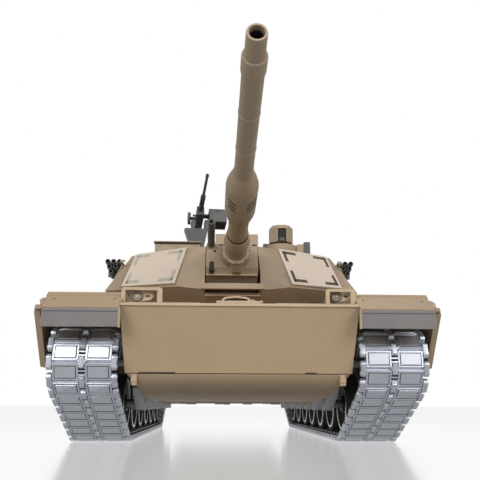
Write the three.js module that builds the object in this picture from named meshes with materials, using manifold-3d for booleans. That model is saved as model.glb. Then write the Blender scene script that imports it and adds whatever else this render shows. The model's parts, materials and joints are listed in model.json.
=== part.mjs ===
// A 1:16 radio-controlled model of a modern main battle tank, in millimetres.
// The tank faces -Y, +X is its own left side, +Z is up and z = 0 is the ground.
// The origin is the centre of the footprint. The gun rests slightly raised.
import * as THREE from "three";
import { ConvexGeometry } from "three/addons/geometries/ConvexGeometry.js";
import { mergeVertices } from "three/addons/utils/BufferGeometryUtils.js";
import Module from "manifold-3d";

const wasm = await Module();
wasm.setup();

// ---------------------------------------------------------------- driving dimensions
const GAP = 0.4; // clearance kept between neighbouring pieces
const WALL = 2.5; // moulded wall thickness

// hull
const NOSE_Y = -175;
const REAR_Y = 311;
const DECK_Z = 88.5;
const SEAM_Z = 41.7; // joint between the upper and the lower hull at the nose
const BELLY_Z = 26;
const TUB_X = 59; // half width of the lower hull between the tracks
const TUB_FRONT_Y = -152;
const TUB_REAR_Y = 303;
const TUB_TOP_Z = 71.5;
const NOSE_X = 68; // half width of the nose plate
const FENDER_X = 116; // half width over the fenders
const SPONSON_Z = 72; // underside of the sponsons above the tracks
const GLACIS_END_Y = -110;
const RING_Y = 53; // turret ring centre
const RING_HOLE_R = 61;
const SKIRT_BOTTOM_Z = 45.7;

// running gear
const TRACK_X = 89;
const TRACK_WIDTH = 39.6;
const TRACK_THICKNESS = 4.6;
const LINK_COUNT = 80;
const IDLER = { y: -146.5, z: 48.5, r: 15.2, beltR: 21 };
const SPROCKET = { y: 262, z: 47, r: 17.2, beltR: 23, teeth: 11 };
const WHEEL_COUNT = 7;
const WHEEL_FIRST_Y = -81;
const WHEEL_LAST_Y = 200;
const WHEEL_Z = 25;
const WHEEL_R = 19.5;
const WHEEL_BELT_R = 25.6;
const WHEEL_HALF_WIDTH = 16;
const GUIDE_GAP = 3.6; // half of the gap for the guide horns in each wheel
const AXLE_R = 2.6;
const BORE_R = 3.1;
const ARM_REACH = 22; // the arm trails this far behind its pivot
const ARM_DROP = 11;
const ARM_THICKNESS = 6.4;
const PIVOT_R = 3.2;
const ROLLER_R = 6.4;
const ROLLER_Z = 57;
const ROLLER_YS = [-11, 130];

// turret
const ROOF_Z = 150;
const TURRET_BASE_Z = 98;
const CHEEK_OFFSET = 124.05; // distance of the cheek planes from the origin
const NOTCH_X = [-22, 20]; // opening between the cheeks for the mantlet
const LIP_REAR_Y = -54.4; // back of the bar that closes the notch, clear of the mantlet's sweep
const TRUNNION = new THREE.Vector3(0.8, -10, 125.4);
const GUN_REST_DEG = 8.3;
const RACK_Y = [223, 252];

// gun stations along the barrel, measured from the trunnion
const FLANGE_FRONT = 62;
const SLEEVE_FRONT = 81.6;
const BREECH = 5.4;
const SHOULDER = 96;
const EVACUATOR = [122, 136, 174, 187];
const COLLAR = [278.5, 289.5];
const MUZZLE = { front: 304, r: 4.6, boreR: 3.4, boreDepth: 45 };

// roof equipment
const VIEWER = { x: 43.5, y: 20, r: 11 };
const CUPOLA = { x: -38, y: 74, r: 22 };
const LOADER = { x: 38, y: 74, r: 18 };
const MG = { x: -29.5, y: 58, z: 193, elevation: 15, yaw: 6.7 };
const LAUNCHER = { x: 107, y: 75, z: 149 };
const LAUNCHER_TUBES = [[0, 0], [1, 0], [2, 0], [1, 1], [2, 1], [2, 2]]; // column and row of each tube

// ---------------------------------------------------------------- materials
function paint(color, roughness, metalness) {
  return new THREE.MeshStandardMaterial({ color, roughness, metalness });
}
const TAN = paint(0x9c8669, 0.6, 0.0);
const METAL = paint(0x969ba5, 0.35, 0.9);
const BLACK = paint(0x222325, 0.6, 0.1);
const GREY_RUBBER = paint(0x787170, 0.8, 0.0);
const GUNMETAL = paint(0x505254, 0.45, 0.4);
const LAMP = paint(0xb9ae93, 0.3, 0.2);
const BOARD = paint(0x1e5a34, 0.5, 0.1);
const CELL = paint(0x2a4c8c, 0.4, 0.0);

// ---------------------------------------------------------------- shape helpers
const range = (count) => Array.from({ length: count }, (_, i) => i);
const rad = THREE.MathUtils.degToRad;
const mirrored = (points) => points.flatMap(([x, y, z]) => [[x, y, z], [-x, y, z]]);

function box([x0, x1], [y0, y1], [z0, z1]) {
  const geometry = new THREE.BoxGeometry(x1 - x0, y1 - y0, z1 - z0);
  return geometry.translate((x0 + x1) / 2, (y0 + y1) / 2, (z0 + z1) / 2);
}

function convex(points) {
  return new ConvexGeometry(points.map((p) => new THREE.Vector3(...p)));
}

function extrude(points, depth) {
  const shape = new THREE.Shape(points.map(([a, b]) => new THREE.Vector2(a, b)));
  return new THREE.ExtrudeGeometry(shape, { depth, bevelEnabled: false });
}

// Turns a flat outline drawn in (y, z) into the plane across X.
const YZ_TO_X = new THREE.Matrix4().makeBasis(
  new THREE.Vector3(0, 1, 0), new THREE.Vector3(0, 0, 1), new THREE.Vector3(1, 0, 0));

// Outline in (y, z), swept from x0 to x1.
function alongX(points, x0, x1) {
  return extrude(points, x1 - x0).applyMatrix4(YZ_TO_X).translate(x0, 0, 0);
}

// Outline in (x, z), swept from y0 to y1.
function alongY(points, y0, y1) {
  return extrude(points, y1 - y0).rotateX(Math.PI / 2).translate(0, y1, 0);
}

function rod(radius, length, sides, axis) {
  const geometry = new THREE.CylinderGeometry(radius, radius, length, sides);
  if (axis === "x") geometry.rotateZ(Math.PI / 2);
  if (axis === "z") geometry.rotateX(Math.PI / 2);
  return geometry;
}

// Profile of (radius, height) turned about Z, listed anticlockwise with the radius to the right.
function turned(profile, sides) {
  const outline = profile.map(([r, h]) => new THREE.Vector2(r, h));
  return new THREE.LatheGeometry(outline, sides).rotateX(Math.PI / 2);
}

function solid(geometry) {
  const bare = geometry.index ? geometry.toNonIndexed() : geometry.clone();
  for (const key of Object.keys(bare.attributes)) {
    if (key !== "position") bare.deleteAttribute(key);
  }
  const merged = mergeVertices(bare, 1e-4);
  const kept = [];
  const index = merged.index.array;
  for (let i = 0; i < index.length; i += 3) {
    const [a, b, c] = index.slice(i, i + 3);
    if (a !== b && b !== c && c !== a) kept.push(a, b, c);
  }
  return new wasm.Manifold(new wasm.Mesh({
    numProp: 3,
    vertProperties: new Float32Array(merged.attributes.position.array),
    triVerts: new Uint32Array(kept),
  }));
}

function geometryOf(manifold) {
  const mesh = manifold.getMesh();
  const geometry = new THREE.BufferGeometry();
  geometry.setAttribute("position", new THREE.BufferAttribute(new Float32Array(mesh.vertProperties), 3));
  geometry.setIndex(new THREE.BufferAttribute(new Uint32Array(mesh.triVerts), 1));
  return geometry;
}

const joined = (...pieces) => pieces.map(solid).reduce((sum, next) => sum.add(next));
const cut = (body, ...tools) => tools.reduce((left, tool) => left.subtract(solid(tool)), body);

function part(parent, name, geometry, material, position = [0, 0, 0]) {
  const mesh = new THREE.Mesh(geometry, material);
  mesh.name = name;
  mesh.position.set(...position);
  parent.add(mesh);
  return mesh;
}

const tank = new THREE.Group();
const SIDES = [["right", -1], ["left", 1]];

// ---------------------------------------------------------------- lower hull
function lowerHull() {
  const profile = [[TUB_FRONT_Y, BELLY_Z + 6], [-146, BELLY_Z], [277, BELLY_Z], [TUB_REAR_Y, 46],
    [TUB_REAR_Y, TUB_TOP_Z], [TUB_FRONT_Y, TUB_TOP_Z]];
  const section = [[-54, BELLY_Z], [54, BELLY_Z], [57.5, 29.5], [TUB_X, 34], [TUB_X, TUB_TOP_Z],
    [-TUB_X, TUB_TOP_Z], [-TUB_X, 34], [-57.5, 29.5]];
  const inner = [[TUB_FRONT_Y + WALL, BELLY_Z + 8], [-144, BELLY_Z + WALL], [275, BELLY_Z + WALL],
    [TUB_REAR_Y - WALL, 48], [TUB_REAR_Y - WALL, TUB_TOP_Z + 1], [TUB_FRONT_Y + WALL, TUB_TOP_Z + 1]];
  let tub = solid(alongX(profile, -80, 80)).intersect(solid(alongY(section, -200, 320)));
  tub = tub.subtract(solid(alongX(inner, -TUB_X + WALL, TUB_X - WALL)));
  const chin = convex(mirrored([[65, -157.3, SEAM_Z - GAP], [65, -151, SEAM_Z - GAP], [59.5, -149.5, 36],
    [57.4, -143, 29.8], [54, -135, BELLY_Z], [TUB_X, -135, 34], [TUB_X, -135, SEAM_Z - GAP]]));
  const chinSpace = box([-TUB_X + WALL, TUB_X - WALL], [TUB_FRONT_Y + WALL, -130], [SEAM_Z - 4, SEAM_Z + 1]);
  tub = tub.add(cut(solid(chin), chinSpace, alongX(inner, -TUB_X + WALL, TUB_X - WALL)));
  for (const [, side] of SIDES) {
    tub = cut(tub, ...armHoles(side));
    for (const piece of stubAxles(side)) tub = tub.add(solid(piece));
  }
  return cut(tub, box([-5.5, 5.5], [150, 156], [BELLY_Z - 1, BELLY_Z + WALL + 1]));
}

function armHoles(side) {
  return wheelYs().map((y) => rod(PIVOT_R + 0.9, 8, 10, "x")
    .translate(side * TUB_X, y - ARM_REACH, WHEEL_Z + ARM_DROP));
}

// Fixed axles of the idler and the sprocket, and the return rollers on their brackets.
function stubAxles(side) {
  const tip = TRACK_X + WHEEL_HALF_WIDTH - 1;
  const places = [[IDLER.y, IDLER.z, 6], [SPROCKET.y, SPROCKET.z, 9]];
  const axles = places.flatMap(([y, z, boss]) => [
    rod(boss, 11, 12, "x").translate(side * (TUB_X + 3.5), y, z),
    rod(AXLE_R, tip - TUB_X + 1, 10, "x").translate(side * (tip + TUB_X - 1) / 2, y, z),
  ]);
  const rollers = ROLLER_YS.flatMap((y) => [
    rod(AXLE_R, 28, 10, "x").translate(side * (TUB_X + 12), y, ROLLER_Z),
    rod(ROLLER_R, 11, 14, "x").translate(side * (TRACK_X - GUIDE_GAP - 5.5), y, ROLLER_Z),
    rod(4.4, 8, 12, "x").translate(side * TRACK_X, y, ROLLER_Z),
    rod(ROLLER_R, 11, 14, "x").translate(side * (TRACK_X + GUIDE_GAP + 5.5), y, ROLLER_Z),
  ]);
  return [...axles, ...rollers];
}

// ---------------------------------------------------------------- upper hull
function glacisZ(y) {
  return 79.5 + (y - NOSE_Y) * (DECK_Z - 79.5) / (GLACIS_END_Y - NOSE_Y);
}

function upperHull() {
  const nose = [[-157.5, SEAM_Z], [NOSE_Y, 79.5], [GLACIS_END_Y, DECK_Z], [GLACIS_END_Y, SPONSON_Z],
    [TUB_FRONT_Y - 1, SPONSON_Z], [TUB_FRONT_Y - 1, SEAM_Z]];
  const taper = [[-65.7, 41], [65.7, 41], [NOSE_X + 0.6, 90], [-NOSE_X - 0.6, 90]];
  const section = [[-FENDER_X, 76.3], [-112, 76.3], [-112, SPONSON_Z], [112, SPONSON_Z], [112, 76.3],
    [FENDER_X, 76.3], [FENDER_X, 84], [112.5, DECK_Z], [-112.5, DECK_Z], [-FENDER_X, 84]];
  let hull = solid(alongX(nose, -80, 80)).intersect(solid(alongY(taper, -200, 0)));
  const sponsons = solid(alongY(section, -155, REAR_Y));
  hull = hull.add(cut(sponsons, box([-NOSE_X, NOSE_X], [-156, GLACIS_END_Y], [60, 100])));
  for (const [, side] of SIDES) hull = hull.add(solid(fenderFront(side)));
  const rearY = TUB_REAR_Y + GAP;
  const rearPlate = alongX([[rearY, 50], [REAR_Y, 54], [REAR_Y, 80], [rearY, 80]], -TUB_X, TUB_X);
  hull = hull.add(solid(rearPlate));
  const underGlacis = [[-148, 74.2], [-106, 74.2], [-106, 86], [GLACIS_END_Y, 86],
    [-148, glacisZ(-148) - WALL]];
  return cut(hull,
    box([-112, 112], [-107, 305], [74.2, 86]),
    box([70, 112], [-148, -106], [74.2, 86]),
    box([-112, -70], [-148, -106], [74.2, 86]),
    alongX(underGlacis, -66, 66),
    box([-56, 56], [-148, 298], [70, 75]),
    rod(RING_HOLE_R, 10, 40, "z").translate(0, RING_Y, DECK_Z));
}

function fenderFront(side) {
  const top = [[67.6, -154, DECK_Z], [112.5, -154, DECK_Z], [FENDER_X, -154, 84], [114.8, -165, 83.5],
    [110, -180, 76.5], [67.6, -180, 76.5]];
  const bottom = top.map(([x, y, z]) => [x, y, y > -170 ? 79 : 75.8]);
  return convex([...top, ...bottom].map(([x, y, z]) => [side * x, y, z]));
}

function skirt(side) {
  const outline = [[-144, SKIRT_BOTTOM_Z], [228, SKIRT_BOTTOM_Z], [240, 60], [298, 60], [306, 75.9],
    [-168.4, 75.9]];
  const inner = 113.4;
  const outer = 116.7;
  return side > 0 ? alongX(outline, inner, outer) : alongX(outline, -outer, -inner);
}

function headlight(side) {
  const y = -160;
  const base = glacisZ(y + 4) + GAP;
  const lampX = side * 59.5;
  const left = side > 0 ? 46.5 : -67;
  const right = side > 0 ? 67 : -45;
  const guardY = [y - 5.5, y - 3.5];
  return joined(
    box([left, right], [y - 5.5, y + 4], [base, base + 1.4]),
    box([left, left + 1.8], guardY, [base, 90]),
    box([right - 3.4, right], guardY, [base, 90]),
    box([left, right], guardY, [88.2, 90]),
    box([lampX - 5, lampX + 7], [y - 2.5, y + 2], [base, 87.2]),
    rod(3.3, 7, 16, "y").translate(lampX, y - 1, 85.8));
}

function driverHatch() {
  const plate = [[-152, glacisZ(-152) + GAP], [-126, glacisZ(-126) + GAP], [-126, glacisZ(-126) + 2.2],
    [-152, glacisZ(-152) + 2.2]];
  return joined(
    alongX(plate, -14, 14),
    box([-9, 5.6], [-150.5, -148.5], [84, 87.6]),
    rod(1.3, 26, 8, "y").translate(14.2, -139, 88.2));
}

function engineDoor() {
  return joined(
    box([-61, 61], [262, 300], [DECK_Z + GAP, DECK_Z + 2.2]),
    rod(1.3, 112, 8, "x").translate(0, 300.5, DECK_Z + 1.8));
}

// ---------------------------------------------------------------- tracks
// Belt around circles given in travel order, anticlockwise in the (y, z) plane.
function beltOutline(circles, count) {
  const path = [];
  circles.forEach((circle, i) => {
    const before = circles[(i + circles.length - 1) % circles.length];
    const after = circles[(i + 1) % circles.length];
    const start = tangentAngle(before, circle);
    const end = tangentAngle(circle, after);
    const sweep = (end - start + 4 * Math.PI) % (2 * Math.PI);
    for (const k of range(25)) {
      const angle = start + sweep * k / 24;
      path.push(new THREE.Vector2(...arc(circle.y, circle.z, circle.beltR, angle)));
    }
  });
  return resample(path, count);
}

function tangentAngle(a, b) {
  const distance = Math.hypot(b.y - a.y, b.z - a.z);
  const heading = Math.atan2(b.z - a.z, b.y - a.y);
  return heading - Math.acos((a.beltR - b.beltR) / distance);
}

function resample(path, count) {
  const lengths = path.map((p, i) => p.distanceTo(path[(i + 1) % path.length]));
  const total = lengths.reduce((sum, length) => sum + length, 0);
  return range(count).map((k) => {
    let left = total * k / count;
    let i = 0;
    while (left > lengths[i]) left -= lengths[i++];
    return path[i].clone().lerp(path[(i + 1) % path.length], lengths[i] ? left / lengths[i] : 0);
  });
}

function inset(outline, depth) {
  return outline.map((p, i) => {
    const before = outline[(i + outline.length - 1) % outline.length];
    const after = outline[(i + 1) % outline.length];
    const tangent = after.clone().sub(before).normalize();
    return new THREE.Vector2(p.x - tangent.y * depth, p.y + tangent.x * depth);
  });
}

function track(side) {
  const front = { y: WHEEL_FIRST_Y, z: WHEEL_BELT_R, beltR: WHEEL_BELT_R };
  const back = { y: WHEEL_LAST_Y, z: WHEEL_BELT_R, beltR: WHEEL_BELT_R };
  const outer = beltOutline([front, back, SPROCKET, IDLER], LINK_COUNT);
  const shape = new THREE.Shape(outer);
  shape.holes.push(new THREE.Path(inset(outer, TRACK_THICKNESS)));
  const geometry = new THREE.ExtrudeGeometry(shape, { depth: TRACK_WIDTH, bevelEnabled: false });
  return geometry.applyMatrix4(YZ_TO_X).translate(side * TRACK_X - TRACK_WIDTH / 2, 0, 0);
}

// ---------------------------------------------------------------- running gear
function wheelYs() {
  const step = (WHEEL_LAST_Y - WHEEL_FIRST_Y) / (WHEEL_COUNT - 1);
  return range(WHEEL_COUNT).map((i) => WHEEL_FIRST_Y + i * step);
}

// Twin disc with a groove for the guide horns, turned about X.
function twinWheel(radius, grooveR, sides) {
  const edge = WHEEL_HALF_WIDTH;
  const profile = [[BORE_R, -edge], [radius, -edge], [radius, -GUIDE_GAP], [grooveR, -GUIDE_GAP],
    [grooveR, GUIDE_GAP], [radius, GUIDE_GAP], [radius, edge], [BORE_R, edge], [BORE_R, -edge]];
  return turned(profile, sides).rotateY(Math.PI / 2);
}

function sprocket() {
  const tooth = 2 * Math.PI / SPROCKET.teeth;
  const rootR = SPROCKET.r - 3;
  const flank = [[0, rootR], [0.34, rootR], [0.44, SPROCKET.r], [0.66, SPROCKET.r], [0.76, rootR]];
  const outline = range(SPROCKET.teeth)
    .flatMap((i) => flank.map(([turn, r]) => arc(0, 0, r, (i + turn) * tooth)));
  const ring = (x) => solid(alongX(outline, x - 2, x + 2));
  const drum = solid(rod(12.5, 2 * WHEEL_HALF_WIDTH, 14, "x"));
  const toothed = drum.add(ring(-13.5)).add(ring(13.5));
  return cut(toothed, rod(BORE_R, 60, 14, "x"));
}

// Trailing arm: pivot stub towards the hull, spindle towards the wheel. Its origin is the pivot.
function swingArm(side) {
  const inner = TUB_X + 1.2;
  const outline = [];
  const lean = Math.atan2(-ARM_DROP, ARM_REACH);
  for (const k of range(5)) outline.push(arc(0, 0, 6, lean + Math.PI / 2 + Math.PI * k / 4));
  for (const k of range(5)) {
    outline.push(arc(ARM_REACH, -ARM_DROP, 4.8, lean - Math.PI / 2 + Math.PI * k / 4));
  }
  const spindle = TRACK_X + WHEEL_HALF_WIDTH - 1 - inner;
  const blade = alongX(outline, 0, ARM_THICKNESS);
  const arm = joined(blade,
    rod(PIVOT_R, 7, 10, "x").translate(-2.5, 0, 0),
    rod(AXLE_R, spindle, 10, "x").translate(spindle / 2, ARM_REACH, -ARM_DROP));
  const geometry = geometryOf(arm).translate(inner, 0, 0);
  return side > 0 ? geometry : geometryOf(solid(geometry).mirror([1, 0, 0]));
}

function arc(y, z, r, angle) {
  return [y + r * Math.cos(angle), z + r * Math.sin(angle)];
}

// ---------------------------------------------------------------- turret
function turretShell() {
  const front = convex(mirrored([
    [21, -21, ROOF_Z - 0.5], [87, 23, ROOF_Z], [84, 150, ROOF_Z], [105, -2, 115], [43, -50, 111],
    [20.3, -55, 119.6], [20, -56, 107.6], [22, -38, 99.4], [62, -5, TURRET_BASE_Z],
    [75, 105, TURRET_BASE_Z], [101, 150, 113]]));
  const bustle = convex(mirrored([
    [84, 148, ROOF_Z], [101, 148, 113], [74, 120, 103], [79, 221, 147], [85, 221, 120], [72, 221, 112]]));
  const inside = convex(mirrored([
    [17, -8, 146], [60, -5, 112], [68, 12, 140], [80, 27, 147], [92, 20, 118], [80, 140, 147], [89, 140, 118],
    [58, 12, 101], [68, 98, 101], [82, 136, 112]]));
  const lipBar = box([NOTCH_X[0] - 3, NOTCH_X[1] + 3], [-60, LIP_REAR_Y], [107.8, 110]);
  const cover = box([-14.2, 20.6], [-20, 2], [ROOF_Z - 3, 160]);
  let shell = solid(front).add(solid(bustle)).add(solid(lipBar));
  shell = cut(shell,
    inside,
    box([-72, 72], [130, 217], [121, 144]),
    box(NOTCH_X, [-70, 2], [110, ROOF_Z - 3]),
    box(NOTCH_X, [-70, -20.4], [140, ROOF_Z + 20]),
    box(NOTCH_X, [LIP_REAR_Y, 2], [106.2, 112]),
    box(NOTCH_X, [-70, -52], [104.5, 107.8]),
    rod(36, 12, 24, "z").translate(0, RING_Y, TURRET_BASE_Z));
  shell = shell.add(solid(cover)).add(solid(loaderRing())).add(solid(cupolaRing()));
  for (const [, side] of SIDES) shell = shell.add(solid(cheekPanel(side)));
  shell = shell.add(joined(...viewerBase()));
  return shell.add(solid(turretRing()));
}

function loaderRing() {
  return turned([[14, 0], [LOADER.r, 0], [LOADER.r, 4], [14, 4], [14, 0]], 20)
    .translate(LOADER.x, LOADER.y, ROOF_Z - 0.6);
}

function turretRing() {
  const top = TURRET_BASE_Z + 0.6;
  return turned([[37, 82], [60, 82], [60, 89], [66, 89], [66, top], [37, top], [37, 82]], 32)
    .translate(0, RING_Y, 0);
}

function cheekPanel(side) {
  const corners = [[37, -9.5, 149.3], [82.6, 20.5, 149.3], [89.5, -15, 115.5], [44.4, -47.3, 113]];
  const normal = new THREE.Vector3(0.3925, -0.606, 0.692).normalize();
  const level = (offset) => corners.map(([x, y, z]) => {
    const point = new THREE.Vector3(x, y, z);
    const height = CHEEK_OFFSET + offset - point.dot(normal);
    return point.addScaledVector(normal, height);
  });
  return convex([...level(-1), ...level(1.2)].map((p) => [side * p.x, p.y, p.z]));
}

function bustleRack() {
  const x = [-82, 82];
  const z = [119, 139];
  const tray = solid(box(x, [RACK_Y[0] - 1.5, RACK_Y[1]], z));
  return cut(tray, box([-80, 80], [RACK_Y[0] + 0.5, RACK_Y[1] - 2], [z[0] + 2, z[1] + 1]));
}

function sightBox() {
  return joined(
    box([-66.6, -27.3], [14, 47], [ROOF_Z + GAP, 160.2]),
    box([-67.6, -26.3], [12, 48], [159.8, 162.2]));
}

function smokeLauncher(side) {
  const { x, y, z } = LAUNCHER;
  const tubes = LAUNCHER_TUBES.map(([column, row]) => rod(2.25, 13, 10, "y")
    .rotateX(rad(-18))
    .rotateZ(side * rad(2.5 * column))
    .translate(side * (x - 3.2 + 4.9 * column - 1.7 * row), y - 5, z + 3.6 - 4.8 * row));
  const plate = box([x - 7.5, x + 8], [y - 1, y + 2.5], [z - 9, z + 6]);
  const armOutline = [[x - 7, z - 6], [x - 1, z - 6], [x - 7, z], [101, 136], [101, 141]];
  const arm = convex(armOutline.flatMap(([u, w]) => [[u, y - 1, w], [u, y + 4, w]]));
  const pieces = [plate, arm].map((piece) => (side > 0 ? piece : flipX(piece)));
  return joined(...tubes, ...pieces);
}

function flipX(geometry) {
  return geometryOf(solid(geometry).mirror([1, 0, 0]));
}

// ---------------------------------------------------------------- gun, level, trunnion at the origin
function mantlet() {
  const outline = [[-51.2, -9.4], [-44.6, 7.4], [-41, 13.4], [-37, 13.8], [-32, 11.8], [-7.9, 19.6], [4, 13],
    [4, -8], [-12, -17], [-36, -18], [-43.5, -14.2], [-47.4, -14.2]];
  const block = solid(alongX(outline, NOTCH_X[0] - TRUNNION.x + 0.8, NOTCH_X[1] - TRUNNION.x - 2.2));
  const flange = rod(10.5, FLANGE_FRONT - 30, 24, "y").translate(0, -(FLANGE_FRONT + 30) / 2, 0);
  const sleeve = rod(7.8, SLEEVE_FRONT - 30, 20, "y").translate(0, -(SLEEVE_FRONT + 30) / 2, 0);
  const body = block.add(solid(flange)).add(solid(sleeve));
  const coax = coaxTube().translate(-18.3, 0, 11.5);
  return cut(body, rod(6.8, 200, 20, "y")).add(solid(coax));
}

// A turned piece along the barrel: (radius, distance in front of the trunnion).
function alongBarrel(profile, sides) {
  return turned(profile, sides).rotateX(Math.PI / 2);
}

function barrel() {
  const [e0, e1, e2, e3] = EVACUATOR;
  const { front, r, boreR, boreDepth } = MUZZLE;
  return alongBarrel([[0, BREECH], [6.4, BREECH], [6.4, SHOULDER - 2], [7.5, SHOULDER], [7.2, SHOULDER + 10],
    [7.4, e0], [9.8, e1], [9.8, e2], [5.4, e3], [5.2, COLLAR[0]], [5.8, COLLAR[0]], [5.8, COLLAR[1]],
    [r, COLLAR[1]], [r, front], [boreR, front], [boreR, front - boreDepth], [0, front - boreDepth]], 24);
}

function coaxTube() {
  return alongBarrel([[0, 32], [2.5, 32], [2.5, 88.6], [1.6, 88.6], [1.6, 80], [0, 80]], 14);
}

// ---------------------------------------------------------------- roof equipment
function viewerHead() {
  return joined(
    rod(VIEWER.r, 14, 8, "z").rotateZ(rad(22.5)).translate(0, 0, 168.5),
    rod(VIEWER.r - 1.5, 3, 8, "z").rotateZ(rad(22.5)).translate(0, 0, 176.2),
    rod(8, 3, 16, "z").translate(0, 0, 161));
}

function viewerBase() {
  const { x, y } = VIEWER;
  return [
    rod(14, 11, 20, "z").translate(x, y, 153.5),
    box([x + 6, x + 22], [y - 5, y + 8], [ROOF_Z - 2, 158.6]),
  ];
}

function cupolaRing() {
  return turned([[12, 0], [CUPOLA.r, 0], [CUPOLA.r, 6], [19, 8], [12, 8], [12, 0]], 16)
    .translate(CUPOLA.x, CUPOLA.y, ROOF_Z - 0.6);
}

function hatchLid(radius, z, centre) {
  return joined(
    rod(radius, 2.4, 20, "z").translate(centre.x, centre.y, z),
    rod(1.5, 12, 8, "x").translate(centre.x, centre.y + radius + 0.6, z),
    box([centre.x - 5, centre.x + 5], [centre.y + radius - 3, centre.y + radius + 0.6], [z - 1.2, z + 1.2]));
}

// Turning ring around the cupola with the pedestal of the machine gun; its fork leaves room for the receiver.
function gunCradle() {
  const { x, y, z, yaw } = MG;
  const foot = 160;
  const seat = 183.5;
  const pedestal = convex([[-7, -5, foot], [3, -5, foot], [-7, -2.5, foot], [3, -2.5, foot],
    [-14, -6, seat], [7.6, -6, seat], [-14, 6, seat], [7.6, 6, seat]]);
  const ears = [[-7.6, -4.8], [4.8, 7.6]].map((sides) => box(sides, [-5, 5], [seat - 0.5, z - 0.6]));
  const stand = [pedestal, ...ears].map((piece) => piece.rotateZ(rad(yaw)).translate(x, y, 0));
  const ring = turned([[19.6, 0], [24.4, 0], [24.4, 3], [19.6, 3], [19.6, 0]], 20);
  return joined(ring.translate(CUPOLA.x, CUPOLA.y, 159.2), ...stand);
}

// Machine gun, level, with its elevation pivot at the origin.
function machineGun() {
  const receiver = box([-3.6, 3.6], [-14, 26], [-2, 8]);
  const jacket = rod(2.3, 24, 10, "y").translate(0, -25, 4);
  const barrelTube = rod(1.4, 48, 8, "y").translate(0, -46, 4);
  const grips = box([-5, 5], [24, 29], [1, 6]);
  const tray = box([3, 9], [-3, 3], [3.5, 5.5]);
  const ammoBox = box([8.4, 25.4], [-8, 7], [-5.5, 8.5]);
  const disc = rod(6, 2.4, 16, "x").translate(-9.6, 4, 4);
  const discPin = rod(1.2, 7, 8, "x").translate(-6, 4, 4);
  return joined(receiver, jacket, barrelTube, grips, tray, ammoBox, disc, discPin);
}

// ---------------------------------------------------------------- inside the hull
function driveUnit() {
  return joined(
    box([-54, 54], [228, 268], [32, 62]),
    rod(13, 44, 16, "x").translate(-29, 208, 45),
    rod(13, 44, 16, "x").translate(29, 208, 45),
    box([-39, -19], [214, 230], [38, 54]),
    box([19, 39], [214, 230], [38, 54]));
}

// ---------------------------------------------------------------- assembly
part(tank, "lower_hull", geometryOf(lowerHull()), TAN);
part(tank, "upper_hull", geometryOf(upperHull()), TAN);
part(tank, "driver_hatch", geometryOf(driverHatch()), TAN);
part(tank, "power_switch", geometryOf(joined(
  box([-3, 3], [151, 155], [BELLY_Z - 2, BELLY_Z + WALL]),
  box([-8, 8], [148, 158], [BELLY_Z + WALL + GAP, BELLY_Z + WALL + 2]),
  box([-3, 3], [151, 155], [BELLY_Z, BELLY_Z + WALL + 1]))), BLACK);
part(tank, "engine_door", geometryOf(engineDoor()), TAN);
part(tank, "drive_unit", geometryOf(driveUnit()), BLACK);
part(tank, "battery_pack", box([-36, 36], [-20, 118], [BELLY_Z + WALL + GAP, 56]), CELL);
part(tank, "control_board", geometryOf(joined(
  box([-42, 42], [-122, -46], [32, 34]),
  box([-12, 12], [-100, -76], [33.5, 38]),
  box([24, 38], [-116, -60], [33.5, 44]),
  box([-40, -36], [-118, -114], [BELLY_Z + WALL + GAP, 33]),
  box([36, 40], [-54, -50], [BELLY_Z + WALL + GAP, 33]))), BOARD);
for (const [label, side] of SIDES) {
  part(tank, `skirt_${label}`, skirt(side), TAN);
  part(tank, `mud_flap_${label}`, box([side > 0 ? 67.5 : -112, side > 0 ? 112 : -67.5], [-180, -177.5],
    [66, 75.4]), GREY_RUBBER);
  part(tank, `headlight_${label}`, geometryOf(headlight(side)), LAMP);
  part(tank, `track_${label}`, track(side), METAL);
  part(tank, `idler_${label}`, twinWheel(IDLER.r, 11, 18), BLACK, [side * TRACK_X, IDLER.y, IDLER.z]);
  part(tank, `sprocket_${label}`, geometryOf(sprocket()), METAL, [side * TRACK_X, SPROCKET.y, SPROCKET.z]);
  wheelYs().forEach((y, i) => {
    const gear = new THREE.Group();
    gear.position.set(0, y - ARM_REACH, WHEEL_Z + ARM_DROP);
    part(gear, `swing_arm_${label}_${i + 1}`, swingArm(side), METAL);
    part(gear, `road_wheel_${label}_${i + 1}`, twinWheel(WHEEL_R, 11.5, 16), BLACK,
      [side * TRACK_X, ARM_REACH, -ARM_DROP]);
    tank.add(gear);
  });
}

const turret = new THREE.Group();
part(turret, "turret_shell", geometryOf(turretShell()), TAN);
part(turret, "bustle_rack", geometryOf(bustleRack()), TAN);
part(turret, "sight_box", geometryOf(sightBox()), TAN);
part(turret, "viewer_head", geometryOf(viewerHead()), TAN, [VIEWER.x, VIEWER.y, 0]);
part(turret, "commander_hatch", geometryOf(hatchLid(15, 160.4, CUPOLA)), TAN);
part(turret, "loader_hatch", geometryOf(hatchLid(16, ROOF_Z + 5.2, LOADER)), TAN);
part(turret, "gun_cradle", geometryOf(gunCradle()), GUNMETAL);
for (const [label, side] of SIDES) {
  part(turret, `smoke_launcher_${label}`, geometryOf(smokeLauncher(side)), BLACK);
}

const machineGunMount = new THREE.Group();
machineGunMount.position.set(MG.x, MG.y, MG.z);
machineGunMount.rotation.set(rad(-MG.elevation), 0, rad(MG.yaw), "ZYX");
part(machineGunMount, "machine_gun", geometryOf(machineGun()), GUNMETAL);
turret.add(machineGunMount);

const gun = new THREE.Group();
gun.position.copy(TRUNNION);
gun.rotation.x = rad(-GUN_REST_DEG);
part(gun, "mantlet", geometryOf(mantlet()), TAN);
part(gun, "barrel", barrel(), TAN);
turret.add(gun);
tank.add(turret);

export default tank;
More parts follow.
